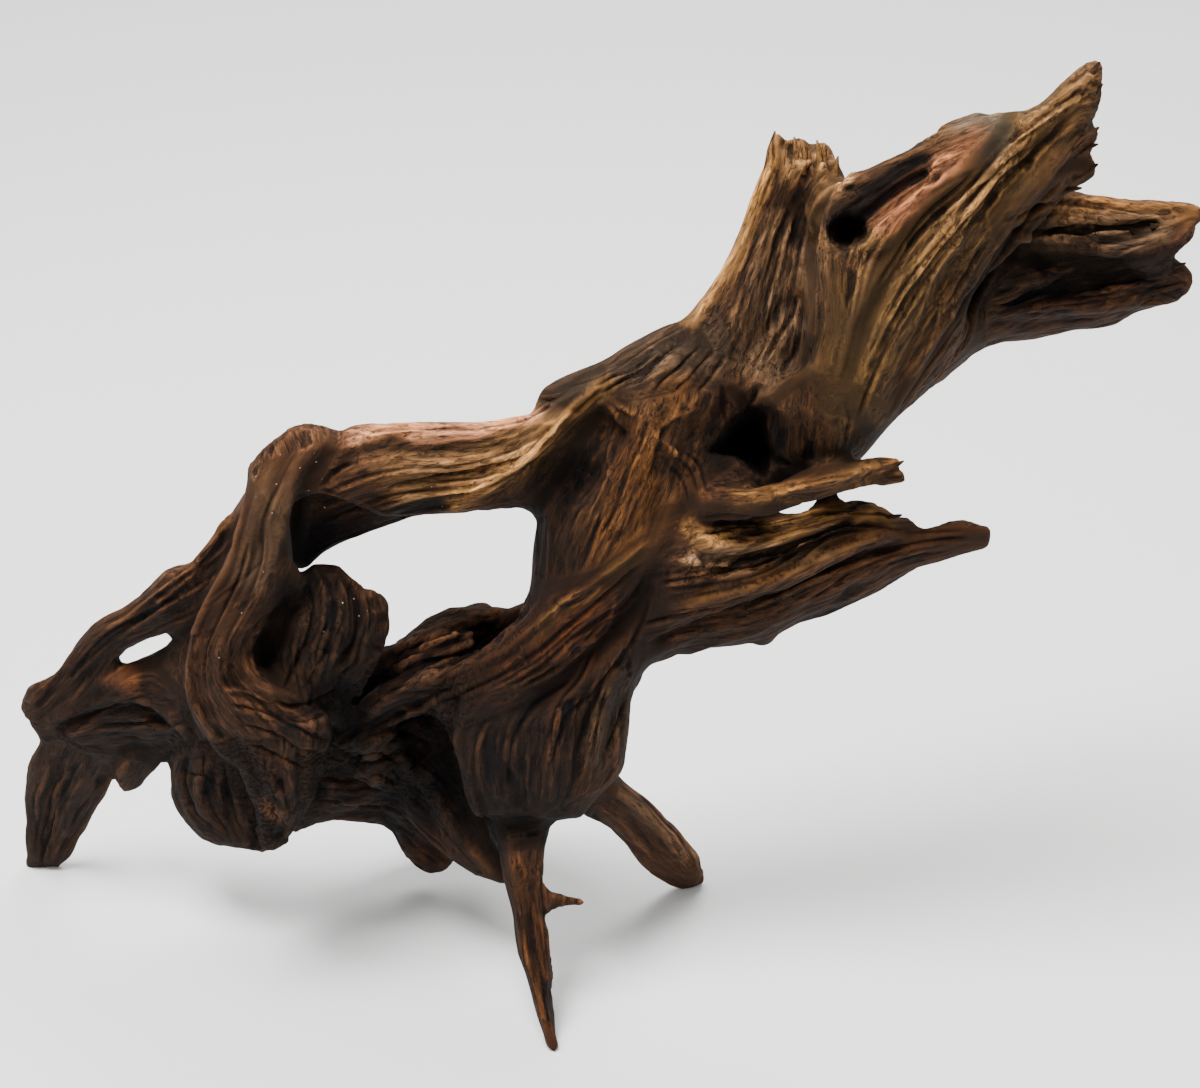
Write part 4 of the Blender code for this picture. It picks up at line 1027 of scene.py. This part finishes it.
def wood_material():
    """Raw weathered wood: painted tones with finer streaks and bumps along the grain."""
    material = bpy.data.materials.new("driftwood")
    material.use_nodes = True
    nodes, links = material.node_tree.nodes, material.node_tree.links
    shader = nodes["Principled BSDF"]

    def add(kind, **inputs):
        node = nodes.new(kind)
        for name, value in inputs.items():
            node.inputs[name].default_value = value
        return node

    def math_node(operation, first, second):
        node = nodes.new("ShaderNodeMath")
        node.operation = operation
        for socket, value in zip(node.inputs, (first, second)):
            if isinstance(value, (int, float)):
                socket.default_value = value
            else:
                links.new(value, socket)
        return node.outputs["Value"]

    def mapped(value, low, high, to_low, to_high):
        node = add("ShaderNodeMapRange")
        sockets = ("From Min", "From Max", "To Min", "To Max")
        for name, number in zip(sockets, (low, high, to_low, to_high)):
            node.inputs[name].default_value = number
        links.new(value, node.inputs["Value"])
        return node.outputs["Result"]

    def attribute(name):
        node = nodes.new("ShaderNodeAttribute")
        node.attribute_name = name
        return node

    tone = attribute("tone")
    grain = attribute("grain")
    density = attribute("specks")
    place = nodes.new("ShaderNodeTexCoord")
    streaks = add("ShaderNodeTexNoise", Scale=1300.0, Detail=4.0, Roughness=0.65)
    pores = add("ShaderNodeTexNoise", Scale=2600.0, Detail=2.0, Roughness=0.5)
    cracks = add("ShaderNodeTexNoise", Scale=700.0, Detail=3.0, Roughness=0.55)
    for texture in (streaks, pores, cracks):
        links.new(grain.outputs["Vector"], texture.inputs["Vector"])
    whole = mapped(cracks.outputs["Fac"], 0.57, 0.62, 1.0, 0.0)
    fleck = mapped(streaks.outputs["Fac"], 0.3, 0.7, 0.42, 1.58)
    light = math_node("MULTIPLY", fleck, mapped(whole, 0.0, 1.0, 0.38, 1.0))
    even = math_node("MULTIPLY", math_node("SUBTRACT", light, 1.0), tone.outputs["Alpha"])
    light = math_node("ADD", even, 1.0)
    mix = nodes.new("ShaderNodeVectorMath")
    mix.operation = "MULTIPLY"
    links.new(tone.outputs["Color"], mix.inputs[0])
    links.new(light, mix.inputs[1])
    grit = add("ShaderNodeTexVoronoi", Scale=420.0)
    links.new(place.outputs["Object"], grit.inputs["Vector"])
    chance = nodes.new("ShaderNodeSeparateColor")
    links.new(grit.outputs["Color"], chance.inputs["Color"])
    chosen = math_node("LESS_THAN", chance.outputs["Red"], density.outputs["Fac"])
    size = mapped(chance.outputs["Green"], 0, 1, 0.08, 0.24)
    close = math_node("LESS_THAN", grit.outputs["Distance"], size)
    speck = nodes.new("ShaderNodeMix")
    speck.data_type = "RGBA"
    links.new(math_node("MULTIPLY", chosen, close), speck.inputs["Factor"])
    links.new(mix.outputs["Vector"], speck.inputs["A"])
    speck.inputs["B"].default_value = SPECK_COLOUR
    links.new(speck.outputs["Result"], shader.inputs["Base Color"])
    fibres = math_node("MULTIPLY", math_node("ADD", streaks.outputs["Fac"], pores.outputs["Fac"]), 0.6)
    relief = math_node("ADD", fibres, math_node("MULTIPLY", whole, 0.7))
    bump = add("ShaderNodeBump", Strength=0.9, Distance=0.0011)
    links.new(relief, bump.inputs["Height"])
    links.new(bump.outputs["Normal"], shader.inputs["Normal"])
    shader.inputs["Roughness"].default_value = 0.78
    shader.inputs["Metallic"].default_value = 0.0
    shader.inputs["Specular IOR Level"].default_value = 0.14
    return material


def wood_mesh(name, points, faces, grain, colour, specks, material):
    """A mesh with what the wood material reads: grain coordinates, tone and density of specks.

    The fourth value of a tone says how strongly the streaks show, 1 where it is left out.
    """
    mesh = bpy.data.meshes.new(name)
    mesh.from_pydata(points, [], faces)
    attribute = mesh.attributes.new("grain", "FLOAT_VECTOR", "POINT")
    attribute.data.foreach_set("vector", grain.astype(np.float32).ravel())
    attribute = mesh.attributes.new("tone", "FLOAT_COLOR", "POINT")
    rgba = np.ones((len(colour), 4))
    rgba[:, : colour.shape[1]] = colour
    attribute.data.foreach_set("color", rgba.astype(np.float32).ravel())
    attribute = mesh.attributes.new("specks", "FLOAT", "POINT")
    if specks is not None:
        attribute.data.foreach_set("value", specks.astype(np.float32))
    mesh.shade_smooth()
    mesh.materials.append(material)
    obj = bpy.data.objects.new(name, mesh)
    bpy.context.scene.collection.objects.link(obj)
    return obj


def wood_pieces(skin, grain, colour, specks, material):
    """The skin as meshes that meet edge to edge, each small enough to handle."""
    middle = skin.points[skin.faces].mean(axis=1)[:, 0]
    limits = np.quantile(middle, np.linspace(0, 1, PIECES + 1))
    part = np.clip(np.searchsorted(limits, middle, side="right") - 1, 0, PIECES - 1)
    pieces = []
    for number in range(PIECES):
        used, renumbered = np.unique(skin.faces[part == number], return_inverse=True)
        piece = wood_mesh(
            f"driftwood_{number + 1}",
            skin.points[used].tolist(),
            renumbered.reshape(-1, 4).tolist(),
            grain[used],
            colour[used],
            specks[used],
            material,
        )
        piece.data.normals_split_custom_set_from_vertices(skin.normals[used].tolist())
        pieces.append(piece)
    return pieces


def plain_material(name, colour, roughness):
    """One even colour."""
    material = bpy.data.materials.new(name)
    material.use_nodes = True
    shader = material.node_tree.nodes["Principled BSDF"]
    shader.inputs["Base Color"].default_value = (*colour, 1)
    shader.inputs["Roughness"].default_value = roughness
    return material


def studio():
    """A pale floor, a white surround and soft light from above and a little to the left."""
    mesh = bpy.data.meshes.new("floor")
    half = FLOOR_HALF
    corners = [(-half, -half, 0), (half, -half, 0), (half, half, 0), (-half, half, 0)]
    mesh.from_pydata(corners, [], [(0, 1, 2, 3)])
    mesh.materials.append(plain_material("floor", FLOOR_COLOUR, 0.9))
    floor = bpy.data.objects.new("floor", mesh)
    bpy.context.scene.collection.objects.link(floor)
    floor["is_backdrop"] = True
    for name, place, size, power in LIGHTS:
        light = bpy.data.objects.new(name, bpy.data.lights.new(name, "AREA"))
        light.data.size = size
        light.data.energy = power
        light.location = place
        light.rotation_mode = "QUATERNION"
        light.rotation_quaternion = (Vector(place) - LIT_POINT).to_track_quat("Z", "Y")
        bpy.context.scene.collection.objects.link(light)
    world = bpy.data.worlds.new("surround")
    world.use_nodes = True
    world.node_tree.nodes["Background"].inputs["Color"].default_value = (1, 1, 1, 1)
    world.node_tree.nodes["Background"].inputs["Strength"].default_value = SURROUND
    bpy.context.scene.world = world


def photo_camera():
    """The camera of the photograph: the whole tracing grid fills its picture."""
    camera = bpy.data.objects.new("camera", bpy.data.cameras.new("camera"))
    camera.data.sensor_width = SENSOR_WIDTH
    camera.data.lens = SENSOR_WIDTH * VIEW_DISTANCE / (GRID_SIZE[0] * UNIT)
    camera.data.clip_start = 0.01
    aim = SHIFT + Vector(((GRID_SIZE[0] / 2 - GRID_MIDDLE[0]) * UNIT, 0, 0))
    aim += GRID_UP * ((GRID_MIDDLE[1] - GRID_SIZE[1] / 2) * UNIT)
    camera.location = aim + TO_VIEWER * VIEW_DISTANCE
    camera.rotation_mode = "QUATERNION"
    camera.rotation_quaternion = TO_VIEWER.to_track_quat("Z", "Y")
    bpy.context.scene.collection.objects.link(camera)
    bpy.context.scene.camera = camera


def build():
    """Turns the CAD node into the finished wood and sets up the studio."""
    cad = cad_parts["driftwood"]
    skin = fine_skin(cad)
    tracer = Tracer(cad)
    sculpt(skin, tracer)
    grain = grain_space(skin)
    even = evenness(skin, grain)
    streaks = raise_relief(skin, grain, even)
    colour = np.column_stack([paint(skin, grain, streaks, openness(cad, skin)), even])
    material = wood_material()
    pieces = wood_pieces(skin, grain, colour, speck_density(skin), material)
    pieces.append(splinters(tracer, material))
    for piece in pieces:
        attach(piece, "root")
        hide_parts("driftwood")
    studio()
    photo_camera()


build()
sizes = {"cad": bounds_at_load, "visual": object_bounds()}
{name: [list(corner) for corner in box] for name, box in sizes.items()}
